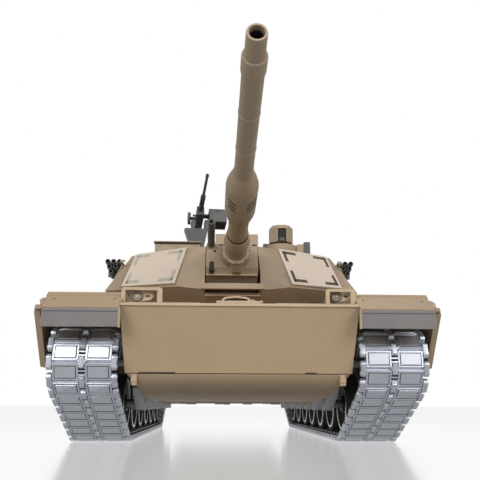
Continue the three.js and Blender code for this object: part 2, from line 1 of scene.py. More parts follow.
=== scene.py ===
"""The looks of a 1:16 radio-controlled main battle tank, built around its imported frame.

Lengths in this script are millimetres in the frame's own axes: the tank faces -Y, +X is its own
left side and z = 0 is the ground. MM turns them into Blender's metres.
"""
import bmesh
import bpy
import json
from math import acos, atan2, cos, hypot, pi, radians, sin
from mathutils import Matrix, Vector


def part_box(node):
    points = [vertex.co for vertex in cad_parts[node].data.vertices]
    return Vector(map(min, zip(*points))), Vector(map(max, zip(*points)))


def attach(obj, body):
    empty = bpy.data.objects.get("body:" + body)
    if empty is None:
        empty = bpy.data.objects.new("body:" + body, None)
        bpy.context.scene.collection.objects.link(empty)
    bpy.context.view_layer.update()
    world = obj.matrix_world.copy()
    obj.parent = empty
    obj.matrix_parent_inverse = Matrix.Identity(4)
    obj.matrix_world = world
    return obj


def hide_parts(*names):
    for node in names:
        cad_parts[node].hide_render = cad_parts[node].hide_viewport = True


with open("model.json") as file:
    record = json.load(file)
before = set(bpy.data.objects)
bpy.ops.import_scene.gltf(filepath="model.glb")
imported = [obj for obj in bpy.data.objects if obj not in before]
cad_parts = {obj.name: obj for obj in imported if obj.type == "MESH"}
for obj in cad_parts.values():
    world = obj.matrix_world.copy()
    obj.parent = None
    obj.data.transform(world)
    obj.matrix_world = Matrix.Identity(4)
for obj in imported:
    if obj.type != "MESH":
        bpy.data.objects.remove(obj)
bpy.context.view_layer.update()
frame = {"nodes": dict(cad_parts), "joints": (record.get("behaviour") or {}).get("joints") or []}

MM = 0.001
SIDES = (("right", -1), ("left", 1))
ORIGIN, FORWARD, LEFT, UP = (0, 0, 0), (0, -1, 0), (1, 0, 0), (0, 0, 1)
JOINTS = {joint["name"]: joint for joint in frame["joints"]}


def pivot(joint):
    """A joint's place, in millimetres."""
    return Vector(JOINTS[joint]["pos_m"]) / MM


def node_box(node):
    low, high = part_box(node)
    return Vector(low) / MM, Vector(high) / MM


def circle(count, radius, phase=0.0):
    """Points evenly round a circle, turned on by phase steps."""
    angles = [2 * pi * (k + phase) / count for k in range(count)]
    return [(radius * cos(angle), radius * sin(angle)) for angle in angles]


def flipped(side, points):
    """The points of the +X side, mirrored when side is -1."""
    return [(side * x, *rest) for x, *rest in points]


# ------------------------------------------------------------------------------- materials
class Nodes:
    """Short calls for building one material's node tree."""

    def __init__(self, name):
        self.material = bpy.data.materials.new(name)
        self.material.use_nodes = True
        self.tree = self.material.node_tree
        self.shader = self.tree.nodes["Principled BSDF"]
        self.coords = self.tree.nodes.new("ShaderNodeTexCoord").outputs["Object"]

    def link(self, source, target):
        self.tree.links.new(source, target)

    def noise(self, scale, detail=4.0, roughness=0.55, stretch=None):
        node = self.tree.nodes.new("ShaderNodeTexNoise")
        node.inputs["Scale"].default_value = scale
        node.inputs["Detail"].default_value = detail
        node.inputs["Roughness"].default_value = roughness
        source = self.coords
        if stretch:
            mapping = self.tree.nodes.new("ShaderNodeMapping")
            mapping.inputs["Scale"].default_value = stretch
            self.link(self.coords, mapping.inputs["Vector"])
            source = mapping.outputs["Vector"]
        self.link(source, node.inputs["Vector"])
        return node.outputs["Fac"]

    def ramp(self, source, stops):
        node = self.tree.nodes.new("ShaderNodeValToRGB")
        elements = node.color_ramp.elements
        while len(elements) < len(stops):
            elements.new(0.5)
        for element, (place, colour) in zip(elements, stops):
            element.position = place
            element.color = (*colour, 1.0) if len(colour) == 3 else colour
        self.link(source, node.inputs["Fac"])
        return node.outputs["Color"]

    def mix(self, a, b, factor, blend="MIX"):
        node = self.tree.nodes.new("ShaderNodeMix")
        node.data_type = "RGBA"
        node.blend_type = blend
        for value, socket in ((factor, node.inputs[0]), (a, node.inputs[6]), (b, node.inputs[7])):
            if isinstance(value, (int, float)):
                socket.default_value = value
            elif isinstance(value, tuple):
                socket.default_value = (*value, 1.0)
            else:
                self.link(value, socket)
        return node.outputs[2]

    def edges(self, low, high):
        """White where the surface is sharply convex, black elsewhere."""
        geometry = self.tree.nodes.new("ShaderNodeNewGeometry")
        return self.ramp(geometry.outputs["Pointiness"], ((low, (0, 0, 0)), (high, (1, 1, 1))))

    def crevice_shade_mask(self, low, high):
        # Mask for painted shade: white in concave corners and creases, black elsewhere.
        geometry = self.tree.nodes.new("ShaderNodeNewGeometry")
        return self.ramp(geometry.outputs["Pointiness"], ((low, (1, 1, 1)), (high, (0, 0, 0))))

    def bump(self, source, strength, distance_mm):
        node = self.tree.nodes.new("ShaderNodeBump")
        node.inputs["Strength"].default_value = strength
        node.inputs["Distance"].default_value = distance_mm * MM
        self.link(source, node.inputs["Height"])
        self.link(node.outputs["Normal"], self.shader.inputs["Normal"])

    def colour(self, source):
        self.link(source, self.shader.inputs["Base Color"])

    def roughness(self, source, low, high):
        grey = self.ramp(source, ((0.25, (low,) * 3), (0.75, (high,) * 3)))
        self.link(grey, self.shader.inputs["Roughness"])


def painted(name, base, shade, rough=(0.5, 0.66), edge=0.35):
    """Sprayed model paint: soft mottling, fine speckle, edges lightened partly as wear and partly as a
    painted highlight, and painted shade darkening the corners.
    """
    n = Nodes(name)
    mottled = n.mix(base, shade, n.ramp(n.noise(26, 5), ((0.35, (0, 0, 0)), (0.8, (1, 1, 1)))))
    speckle = n.ramp(n.noise(1900, 2), ((0.3, (0.88, 0.88, 0.88)), (0.7, (1.06, 1.06, 1.06))))
    speckled = n.mix(mottled, speckle, 0.7, "MULTIPLY")
    # Edges lightened by the pointiness mask: partly wear, partly a painted highlight.
    light = tuple(min(1.0, c * 1.5) for c in base)
    worn_and_highlit = n.mix(speckled, light, n.mix((0, 0, 0), n.edges(0.515, 0.57), edge))
    # Painted shade: concave corners and creases are darkened towards this colour.
    dark = tuple(c * 0.45 for c in base)
    n.colour(n.mix(worn_and_highlit, dark, n.mix((0, 0, 0), n.crevice_shade_mask(0.44, 0.485), 0.55)))
    n.roughness(n.noise(140, 3), *rough)
    n.bump(n.noise(2600, 3), 0.12, 0.05)
    n.shader.inputs["Specular IOR Level"].default_value = 0.18
    return n.material


def cast_metal(name, base, rough=(0.3, 0.5), metallic=0.9, grain=700):
    """Cast alloy: edges brightened partly as wear and partly as a painted highlight, painted shade darkening
    the corners, and a fine sand-cast grain.
    """
    n = Nodes(name)
    dull = tuple(c * 0.72 for c in base)
    cloudy = n.mix(base, dull, n.ramp(n.noise(90, 6), ((0.35, (0, 0, 0)), (0.75, (1, 1, 1)))))
    # Edges brightened by the pointiness mask: partly wear, partly a painted highlight.
    bright = tuple(min(1.0, c * 1.7) for c in base)
    worn_and_highlit = n.mix(cloudy, bright, n.edges(0.51, 0.58))
    # Painted shade: concave corners and creases are darkened towards this colour.
    dark = tuple(c * 0.22 for c in base)
    n.colour(n.mix(worn_and_highlit, dark, n.mix((0, 0, 0), n.crevice_shade_mask(0.42, 0.48), 0.8)))
    n.roughness(n.noise(240, 4), *rough)
    n.bump(n.noise(grain, 6, 0.7), 0.25, 0.12)
    n.shader.inputs["Metallic"].default_value = metallic
    return n.material


def plastic(name, base, rough=(0.4, 0.55), metallic=0.0, grain=1500, bump=0.15):
    n = Nodes(name)
    lighter = tuple(min(1.0, c * 1.35 + 0.004) for c in base)
    cloudy = n.mix(base, lighter, n.ramp(n.noise(60, 4), ((0.3, (0, 0, 0)), (0.8, (1, 1, 1)))))
    shine = tuple(min(1.0, c * 2.2 + 0.02) for c in base)
    n.colour(n.mix(cloudy, shine, n.mix((0, 0, 0), n.edges(0.52, 0.6), 0.5)))
    n.roughness(n.noise(180, 3), *rough)
    n.bump(n.noise(grain, 4), bump, 0.06)
    n.shader.inputs["Metallic"].default_value = metallic
    return n.material


def lens_glass(name, base):
    n = Nodes(name)
    rings = n.tree.nodes.new("ShaderNodeTexVoronoi")
    rings.inputs["Scale"].default_value = 900
    n.link(n.coords, rings.inputs["Vector"])
    n.colour(n.mix(base, tuple(c * 0.5 for c in base), n.ramp(rings.outputs["Distance"],
            ((0.1, (0, 0, 0)), (0.6, (1, 1, 1))))))
    n.bump(rings.outputs["Distance"], 0.4, 0.1)
    n.shader.inputs["Roughness"].default_value = 0.08
    n.shader.inputs["Coat Weight"].default_value = 1.0
    n.shader.inputs["Coat Roughness"].default_value = 0.03
    return n.material


def floor_surface(name):
    """Pale glowing floor, half covered by a soft gloss that mirrors the tracks."""
    n = Nodes(name)
    nodes = n.tree.nodes
    shine, glow = nodes.new("ShaderNodeBsdfGlossy"), nodes.new("ShaderNodeEmission")
    shine.inputs["Roughness"].default_value = 0.13
    glow.inputs["Strength"].default_value = 0.92
    floor = nodes.new("ShaderNodeMixShader")
    floor.inputs[0].default_value = 0.5
    nodes.remove(n.shader)
    n.link(glow.outputs[0], floor.inputs[1])
    n.link(shine.outputs[0], floor.inputs[2])
    n.link(floor.outputs[0], nodes["Material Output"].inputs["Surface"])
    return n.material


TAN = (0.318, 0.235, 0.150)
TAN_SHADE = (0.297, 0.217, 0.138)
M = {
    "hull": painted("hull_tan_paint", TAN, TAN_SHADE),
    "turret": painted("turret_tan_paint", (0.312, 0.240, 0.168), (0.290, 0.222, 0.155)),
    # Lighter tan: the paint of trim parts, and also a painted highlight on thin lips and bars along lit
    # edges.
    "trim_and_highlight": painted("light_tan_trim_and_highlight", (0.39, 0.305, 0.205), (0.33, 0.25, 0.165)),
    "panel": painted("panel_beige", (0.54, 0.455, 0.375), (0.51, 0.43, 0.352), rough=(0.6, 0.72),
            edge=0.2),
    "mark_green": painted("mark_grey_green", (0.40, 0.395, 0.325), (0.35, 0.35, 0.29), edge=0.0),
    "mark_brown": painted("mark_grey_brown", (0.085, 0.072, 0.055), (0.07, 0.06, 0.048), edge=0.0),
    "flap": plastic("flap_grey_rubber", (0.118, 0.106, 0.104), rough=(0.62, 0.75)),
    "track": cast_metal("track_cast_metal", (0.38, 0.40, 0.435), rough=(0.34, 0.52)),
    # Painted shade: a flat near-black for the track grooves and behind the gap between the pads.
    "gap": plastic("track_groove_painted_shade", (0.030, 0.032, 0.036), rough=(0.5, 0.7)),
    "arm": cast_metal("arm_cast_metal", (0.20, 0.20, 0.205), rough=(0.45, 0.6), metallic=0.7),
    "rim": cast_metal("rim_bright_metal", (0.62, 0.62, 0.64), rough=(0.22, 0.34)),
    "wheel": plastic("wheel_black_plastic", (0.018, 0.018, 0.02)),
    "tyre": plastic("tyre_black_rubber", (0.012, 0.012, 0.013), rough=(0.6, 0.75), grain=900),
    "gun": plastic("gun_dark_grey", (0.044, 0.045, 0.046), rough=(0.38, 0.52), metallic=0.2),
    "box_grey": plastic("box_mid_grey", (0.075, 0.075, 0.076), rough=(0.45, 0.58)),
    "dark": plastic("deep_shadow_black", (0.008, 0.007, 0.006), rough=(0.7, 0.8)),
    "glass": lens_glass("window_dark_glass", (0.020, 0.013, 0.008)),
    "lens": lens_glass("lamp_lens", (0.42, 0.37, 0.27)),
    "red": lens_glass("tail_lamp_red", (0.35, 0.02, 0.015)),
    "board": plastic("circuit_board_green", (0.012, 0.09, 0.03)),
    "cell": plastic("battery_wrap_blue", (0.02, 0.06, 0.24), rough=(0.2, 0.3)),
    "inner": plastic("inner_black_plastic", (0.02, 0.02, 0.02)),
}


# ------------------------------------------------------------------------------- mesh tools
def frame_of(axis):
    """Rotation whose Z is the given direction."""
    return Vector(axis).normalized().to_track_quat("Z", "Y").to_matrix().to_4x4()


AXES = {
    "x": Matrix(((0, 0, 1, 0), (1, 0, 0, 0), (0, 1, 0, 0), (0, 0, 0, 1))),
    "y": Matrix(((1, 0, 0, 0), (0, 0, -1, 0), (0, 1, 0, 0), (0, 0, 0, 1))),
    "z": Matrix.Identity(4),
}


class Piece:
    """Collects bevelled solids, in millimetres, into one Blender object."""

    def __init__(self, name, *materials):
        self.name = name
        self.materials = materials
        self.bm = bmesh.new()
        self.place = Matrix.Identity(4)

    def at(self, matrix):
        """Solids added after this are placed by the matrix."""
        self.place = matrix
        return self

    def merge(self, part, material=0):
        part.transform(self.place)
        bmesh.ops.recalc_face_normals(part, faces=part.faces)
        for face in part.faces:
            face.material_index = material
        mesh = bpy.data.meshes.new("part")
        part.to_mesh(mesh)
        self.bm.from_mesh(mesh)
        bpy.data.meshes.remove(mesh)
        part.free()
        return self

    def box(self, x, y, z, bevel=0.3, material=0, turn=None):
        part = bmesh.new()
        bmesh.ops.create_cube(part, size=1.0)
        size = Matrix.Diagonal((x[1] - x[0], y[1] - y[0], z[1] - z[0], 1.0))
        centre = Matrix.Translation(((x[0] + x[1]) / 2, (y[0] + y[1]) / 2, (z[0] + z[1]) / 2))
        part.transform(centre @ (turn or Matrix.Identity(4)) @ size)
        soften(part, bevel)
        return self.merge(part, material)

    def hull(self, points, bevel=0.3, material=0):
        part = bmesh.new()
        for point in points:
            part.verts.new(point)
        made = bmesh.ops.convex_hull(part, input=part.verts)
        unused = [v for v in made["geom_interior"] if isinstance(v, bmesh.types.BMVert)]
        bmesh.ops.delete(part, geom=unused, context="VERTS")
        bmesh.ops.dissolve_limit(part, angle_limit=radians(1.5), verts=part.verts, edges=part.edges)
        soften(part, bevel)
        return self.merge(part, material)

    def wedge(self, xs, outline, bevel=0.3, material=0):
        """Hull of a (y, z) outline set at each of the xs."""
        return self.hull([(x, y, z) for x in xs for y, z in outline], bevel, material)

    def prism(self, outline, axis, low, high, bevel=0.3, material=0):
        """Outline is (y, z) along x, (x, z) along y or (x, y) along z."""
        part = bmesh.new()
        bottom = [part.verts.new((a, b, low)) for a, b in outline]
        top = [part.verts.new((a, b, high)) for a, b in outline]
        part.faces.new(bottom)
        part.faces.new(top)
        count = len(outline)
        for i in range(count):
            part.faces.new((bottom[i], bottom[(i + 1) % count], top[(i + 1) % count], top[i]))
        turn = AXES[axis]
        if axis == "y":
            turn = turn @ Matrix.Translation((0, 0, -low - high))
        part.transform(turn)
        soften(part, bevel)
        return self.merge(part, material)

    def lathe(self, profile, at, axis, sides=32, material=0):
        """Profile of (radius, height) closed on itself or on the axis."""
        part = bmesh.new()
        rings = []
        for radius, height in profile:
            if radius < 1e-6:
                rings.append([part.verts.new((0, 0, height))])
                continue
            rings.append([part.verts.new((a, b, height)) for a, b in circle(sides, radius)])
        closed = profile[0][0] > 1e-6
        pairs = list(zip(rings, rings[1:] + rings[:1])) if closed else list(zip(rings, rings[1:]))
        for a, b in pairs:
            for k in range(sides):
                corners = [a[k % len(a)], a[(k + 1) % len(a)], b[(k + 1) % len(b)], b[k % len(b)]]
                unique = list(dict.fromkeys(corners))
                if len(unique) > 2:
                    part.faces.new(unique)
        part.transform(Matrix.Translation(at) @ frame_of(axis))
        return self.merge(part, material)

    def rod(self, start, end, radius, sides=16, material=0, end_radius=None, soft=0.12):
        start, end = Vector(start), Vector(end)
        length = (end - start).length
        tip = radius if end_radius is None else end_radius
        edge = min(soft, radius * 0.4, length * 0.3)
        profile = [(0, 0), (radius - edge, 0), (radius, edge), (tip, length - edge),
                (max(tip - edge, 0.02), length), (0, length)]
        return self.lathe(profile, start, end - start, sides, material)

    def ring(self, at, axis, inner, outer, low, high, sides=32, material=0, soft=0.15):
        profile = [(inner, low), (outer - soft, low), (outer, low + soft), (outer, high - soft),
                (outer - soft, high), (inner + soft, high), (inner, high - soft)]
        return self.lathe(profile, at, axis, sides, material)

    def tube(self, points, radius, sides=10, material=0):
        """A bent bar through the points, with rounded corners."""
        path = rounded_path([Vector(p) for p in points], radius * 1.6)
        part = bmesh.new()
        rings = []
        for i, point in enumerate(path):
            before = path[max(i - 1, 0)]
            after = path[min(i + 1, len(path) - 1)]
            turn = (after - before).normalized().to_track_quat("Z", "Y").to_matrix()
            rings.append([part.verts.new(point + turn @ Vector((a, b, 0))) for a, b in circle(sides, radius)])
        for a, b in zip(rings, rings[1:]):
            twist = min(range(sides), key=lambda s: (a[0].co - b[s].co).length)
            b[:] = b[twist:] + b[:twist]
            for k in range(sides):
                part.faces.new((a[k], a[(k + 1) % sides], b[(k + 1) % sides], b[k]))
        part.faces.new(rings[0])
        part.faces.new(rings[-1])
        return self.merge(part, material)

    def handle(self, start, end, rise, radius, sides=8):
        """A grab handle: up, along and down again."""
        start, end, up = Vector(start), Vector(end), Vector((0, 0, rise))
        return self.tube([start, start + up, end + up, end], radius, sides)

    def bolt(self, at, normal, radius=0.9, height=0.6, sides=6, material=0):
        """Hexagon head on a thin washer."""
        at, normal = Vector(at), Vector(normal).normalized()
        self.rod(at - normal * 0.2, at + normal * height * 0.3, radius * 1.35, 14, material, soft=0.05)
        return self.rod(at, at + normal * height, radius, sides, material, soft=0.1)

    def node(self, name, bevel=0.3, material=0, angle=24):
        """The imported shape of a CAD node, cleaned and with softened edges."""
        part = bmesh.new()
        part.from_mesh(frame["nodes"][name].data)
        part.transform(Matrix.Scale(1 / MM, 4))
        bmesh.ops.remove_doubles(part, verts=part.verts, dist=0.002)
        bmesh.ops.dissolve_limit(part, angle_limit=radians(1.2), verts=part.verts, edges=part.edges)
        soften(part, bevel, angle)
        return self.merge(part, material)

    def mesh(self):
        self.bm.transform(Matrix.Scale(MM, 4))
        mesh = bpy.data.meshes.new(self.name)
        self.bm.to_mesh(mesh)
        self.bm.free()
        mesh.polygons.foreach_set("use_smooth", [True] * len(mesh.polygons))
        mesh.set_sharp_from_angle(angle=radians(38))
        for name in self.materials:
            mesh.materials.append(M[name])
        return mesh

    def ride(self, body, slot, *replaces):
        return show(self.name, self.mesh(), body, replaces)


def show(name, mesh, body, replaces=(), place=None):
    piece = bpy.data.objects.new(name, mesh)
    bpy.context.scene.collection.objects.link(piece)
    if place is not None:
        piece.matrix_world = place
    normals = piece.modifiers.new("face_weighted_normals", "WEIGHTED_NORMAL")
    normals.keep_sharp = True
    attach(piece, body)
    if replaces:
        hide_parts(*replaces)
    return piece


def soften(part, width, angle=24):
    """Bevels the edges that turn by more than the angle."""
    if width <= 0:
        return
    edges = [e for e in part.edges if len(e.link_faces) == 2 and e.calc_face_angle(0) > radians(angle)]
    if edges:
        bmesh.ops.bevel(part, geom=edges, offset=width, offset_type="OFFSET", segments=2, profile=0.6,
                affect="EDGES", clamp_overlap=True)


def rounded_path(points, radius):
    path = [points[0]]
    for before, corner, after in zip(points, points[1:], points[2:]):
        toward = (before - corner).normalized()
        away = (after - corner).normalized()
        reach = min(radius, (before - corner).length * 0.45, (after - corner).length * 0.45)
        for k in range(5):
            t = k / 4
            start, end = corner + toward * reach, corner + away * reach
            path.append(start.lerp(corner, t).lerp(corner.lerp(end, t), t))
    return path + [points[-1]]


def repaint(node, material, bevel=0.25):
    """Keeps a CAD node's shape, with a softened edge and its own material."""
    shape = frame["nodes"][node]
    shape.data.materials.clear()
    shape.data.materials.append(M[material])
    edge = shape.modifiers.new("soft_edges", "BEVEL")
    edge.width = bevel * MM
    edge.segments = 2
    edge.limit_method = "ANGLE"
    edge.angle_limit = radians(30)
    return shape


def rotation(angle_degrees, axis):
    return Matrix.Rotation(radians(angle_degrees), 4, axis)


# ------------------------------------------------------------------------------- tracks
TRACK_X = pivot("idler_spin_left").x
LINK_COUNT = 80
ROLLER_YS = (-11.0, 130.0)
ROLLER_Z = 57.0
IDLER_BELT_R = 21.0
SPROCKET_BELT_R = 23.0
WHEEL_BELT_R = 25.6
CHAIN_SHIFT = {"right": 0.35, "left": 0.62}
TRACK_THICKNESS = 4.6


def tangent_angle(a, b):
    (ay, az, ar), (by, bz, br) = a, b
    return atan2(bz - az, by - ay) - acos((ar - br) / hypot(by - ay, bz - az))


def belt_path():
    """The track's outer face as a fine closed path, anticlockwise in the (y, z) plane."""
    front, back = pivot("wheel_spin_left_1"), pivot("wheel_spin_left_7")
    sprocket, idler = pivot("sprocket_spin_left"), pivot("idler_spin_left")
    circles = [(front.y, WHEEL_BELT_R, WHEEL_BELT_R), (back.y, WHEEL_BELT_R, WHEEL_BELT_R),
            (sprocket.y, sprocket.z, SPROCKET_BELT_R), (idler.y, idler.z, IDLER_BELT_R)]
    path = []
    for i, circle in enumerate(circles):
        start = tangent_angle(circles[i - 1], circle)
        end = tangent_angle(circle, circles[(i + 1) % len(circles)])
        sweep = (end - start) % (2 * pi)
        y, z, r = circle
        path += [Vector((y + r * cos(start + sweep * k / 24),
                z + r * sin(start + sweep * k / 24))) for k in range(25)]
    return path


def link_joints(shift):
    """Joints between the links; shift slides the chain along by part of a link."""
    path = belt_path()
    lengths = [(path[(i + 1) % len(path)] - p).length for i, p in enumerate(path)]
    total = sum(lengths)
    joints = []
    for k in range(LINK_COUNT):
        left, i = total * ((k + shift) % LINK_COUNT) / LINK_COUNT, 0
        while left > lengths[i]:
            left -= lengths[i]
            i += 1
        joints.append(path[i].lerp(path[(i + 1) % len(path)], left / lengths[i] if lengths[i] else 0))
    return joints


def link_frame(x, y, z, tangent):
    """Columns: along the track, across it, outward."""
    along = Vector((0, tangent.x, tangent.y))
    out = Vector((0, tangent.y, -tangent.x))
    across = out.cross(along)
    matrix = Matrix((along, across, out)).transposed().to_4x4()
    matrix.translation = Vector((x, y, z))
    return matrix


def shoe():
    """One link: two framed pads with a grooved panel, ladder bars between them and the pins; the groove
    floors and the backing between the pads are a flat dark painted shade.
    """
    piece = Piece("shoe", "track", "gap")
    for side in (-1, 1):
        inner, outer = sorted((side * 1.95, side * 16.5))
        piece.hull([(u, v, w) for v in (inner, outer) for u,
                w in ((-4.4, -3.4), (4.4, -3.4), (-4.85, -1.0), (4.85, -1.0), (-4.55, -0.35),
                (4.55, -0.35))], 0.3)
        # Groove floor in the flat dark painted-shade material.
        piece.box((-3.75, 3.75), (inner + 1.0, outer - 1.0), (-0.8, -0.32), 0.0, 1)
        piece.hull([(u, v, w) for u, v, w in [(a * 3.4, c, -0.7) for a in (-1, 1) for c in (inner + 1.35,
                outer - 1.35)] + [(a * 3.15, c, 0.0) for a in (-1, 1) for c in (inner + 1.6,
                outer - 1.6)]], 0.12)
        piece.box((-3.3, 3.3), (inner + 2.0, outer - 2.0), (-TRACK_THICKNESS, -3.0), 0.3)
    for place in (-2.6, -0.5, 1.6):
        piece.box((place - 0.45, place + 0.45), (-2.2, 2.2), (-1.9, -0.75), 0.22)
    # Flat dark backing between the pads: painted shade.
    piece.box((-4.3, 4.3), (-2.4, 2.4), (-3.3, -2.6), 0.1, 1)
    for place in (-4.0, 4.0):
        piece.rod((place, -18.6, -2.3), (place, 18.6, -2.3), 1.25, 12)
    return piece


def connector():
    """Between two links: an end connector at each edge, and the centre guide with its horn."""
    piece = Piece("connector", "track", "gap")
    for side in (-1, 1):
        inner, outer = sorted((side * 16.75, side * 19.7))
        piece.hull([(u, v, w) for v in (inner, outer) for u,
                w in ((-4.3, -3.9), (4.3, -3.9), (-4.5, -1.4), (4.5, -1.4), (-3.2, -0.1), (3.2, -0.1))],
                0.55)
        for end in (-2.5, 2.5):
            piece.rod((end, side * 19.2, -2.0), (end, side * 20.0, -2.0), 1.2, 12)
    piece.hull([(u, v, w) for u, v, w in [(a * 3.6, c, -1.8) for a in (-1, 1) for c in (-1.75,
            1.75)] + [(a * 2.9, c, 0.15) for a in (-1, 1) for c in (-1.3, 1.3)] + [(a * 3.6, c,
            -4.0) for a in (-1, 1) for c in (-1.75, 1.75)]], 0.4)
    for side in (-1, 1):
        piece.hull([(-1.0, side * 1.2, -1.2), (1.0, side * 1.2, -1.2), (-1.0, side * 1.2, -0.3),
                (1.0, side * 1.2, -0.3), (-2.2, side * 3.2, -1.4), (-1.2, side * 3.2, -1.4),
                (-2.2, side * 3.2, -0.6), (-1.2, side * 3.2, -0.6)], 0.2)
    piece.hull([(s * 2.5, t * 1.5, -3.6) for s in (-1, 1) for t in (-1, 1)] + [(s * 1.2, t * 0.8,
            -9.4) for s in (-1, 1) for t in (-1, 1)], 0.3)
    return piece


def repeated(name, parts):
    """One mesh from many placed copies of bmeshes."""
    vertices, faces, slots = [], [], []
    for source, place in parts:
        start = len(vertices)
        vertices += [tuple((place @ v.co) * MM) for v in source.verts]
        faces += [tuple(start + v.index for v in face.verts) for face in source.faces]
        slots += [face.material_index for face in source.faces]
    mesh = bpy.data.meshes.new(name)
    mesh.from_pydata(vertices, [], faces)
    mesh.polygons.foreach_set("material_index", slots)
    mesh.polygons.foreach_set("use_smooth", [True] * len(faces))
    mesh.set_sharp_from_angle(angle=radians(38))
    return mesh


def tracks():
    shoe_form, connector_form = shoe().bm, connector().bm
    for form in (shoe_form, connector_form):
        form.verts.index_update()
    for label, side in SIDES:
        parts = []
        joints = link_joints(CHAIN_SHIFT[label])
        for i, point in enumerate(joints):
            before, after = joints[i - 1], joints[(i + 1) % LINK_COUNT]
            middle = (point + after) / 2
            parts.append((shoe_form, link_frame(side * TRACK_X, middle.x, middle.y,
                    (after - point).normalized())))
            parts.append((connector_form, link_frame(side * TRACK_X, point.x, point.y,
                    (after - before).normalized())))
        mesh = repeated(f"track_chain_{label}", parts)
        mesh.materials.append(M["track"])
        mesh.materials.append(M["gap"])
        show(f"track_chain_{label}", mesh, "hull", (f"track_{label}",))


# ------------------------------------------------------------------------------- wheels
WHEEL_R, WHEEL_RIM_R = 19.5, 16.9
IDLER_R, IDLER_RIM_R = 15.2, 12.9


def wheel_mesh(name, radius, rim_r, face_material):
    """Twin dished discs with rubber tyres, a bright rim ring, a hub cap and bolts, about the X axis."""
    piece = Piece(name, face_material, "tyre", "rim", "arm")
    for side in (-1, 1):
        axis = (side, 0, 0)
        tyre = [(rim_r, 4.0), (radius - 0.5, 3.8), (radius, 4.4), (radius, 15.2), (radius - 0.5, 15.8),
                (rim_r, 15.6)]
        piece.lathe(tyre, (0, 0, 0), axis, 44, 1)
        piece.ring((0, 0, 0), axis, rim_r - 0.75, rim_r + 0.05, 4.2, 15.9, 44, 2, 0.1)
        disc = [(3.05, 6.0), (rim_r - 0.6, 6.0), (rim_r - 0.6, 14.9), (rim_r - 2.2, 14.6), (9.4, 11.2),
                (7.2, 11.2), (6.4, 13.8), (3.05, 13.8)]
        piece.lathe(disc, (0, 0, 0), axis, 40, 0)
        piece.ring((0, 0, 0), axis, 3.05, 5.2, 13.5, 16.0, 28, 0, 0.4)
        for y, z in circle(10, rim_r - 5.6):
            piece.rod((side * 11.9, y, z), (side * 12.8, y, z), 0.75, 6, 0)
    piece.ring(ORIGIN, LEFT, 3.05, 9.0, -6.2, 6.2, 30, 0, 0.3)
    return piece.mesh()


def wheels():
    road = wheel_mesh("road_wheel_form", WHEEL_R, WHEEL_RIM_R, "wheel")
    end = wheel_mesh("idler_form", IDLER_R, IDLER_RIM_R, "gun")
    for label, _ in SIDES:
        for i in range(1, 8):
            place = Matrix.Translation(pivot(f"wheel_spin_{label}_{i}") * MM)
            show(f"wheel_{label}_{i}", road, f"wheel_{label}_{i}",
                    (f"road_wheel_{label}_{i}",), place)
            repaint(f"swing_arm_{label}_{i}", "arm")
        place = Matrix.Translation(pivot(f"idler_spin_{label}") * MM)
        show(f"idler_wheel_{label}", end, f"idler_{label}", (f"idler_{label}",), place)
        sprocket(label)


SPROCKET_TEETH = 11


def sprocket(label):
    centre = pivot(f"sprocket_spin_{label}")
    piece = Piece(f"drive_sprocket_{label}", "track", "arm")
    piece.at(Matrix.Translation(centre))
    teeth, root, tip = SPROCKET_TEETH, 13.6, 17.0
    outline = []
    for i in range(teeth):
        start = 2 * pi * (i + 0.2) / teeth
        step = 2 * pi / teeth
        for turn, r in ((0.0, root + 0.5), (0.12, root), (0.3, root + 0.5), (0.4, tip - 0.5), (0.5, tip),
                (0.6, tip), (0.7, tip - 0.5), (0.88, root + 0.5)):
            outline.append((r * cos(start + turn * step), r * sin(start + turn * step)))
    for side in (-1, 1):
        low, high = sorted((side * 11.7, side * 15.3))
        piece.prism(outline, "x", low, high, 0.35)
        piece.ring((0, 0, 0), (side, 0, 0), 3.05, 11.0, 15.0, 15.9, 32, 1)
        for y, z in circle(teeth, 9.2):
            piece.rod((side * 15.0, y, z), (side * 16.5, y, z), 0.8, 6, 0)
    piece.ring(ORIGIN, LEFT, 3.05, 11.6, -12.0, 12.0, 36, 1, 0.5)
    piece.ring(ORIGIN, LEFT, 3.05, 5.4, -16.6, 16.6, 24, 1, 0.4)
    piece.ride(f"sprocket_{label}", "track_metal", f"sprocket_{label}")


# ------------------------------------------------------------------------------- hull
NOSE_Y, NOSE_TOP_Z, SEAM_Z = -175.0, 79.5, 41.7
DECK_Z, BELLY_Z, REAR_Y = 88.5, 26.0, 311.0
GLACIS_END_Y = -110.0
GLACIS_SLOPE = (DECK_Z - NOSE_TOP_Z) / (GLACIS_END_Y - NOSE_Y)


def glacis_z(y):
    return NOSE_TOP_Z + (y - NOSE_Y) * GLACIS_SLOPE


GLACIS_NORMAL = Vector((0, -GLACIS_SLOPE, 1)).normalized()


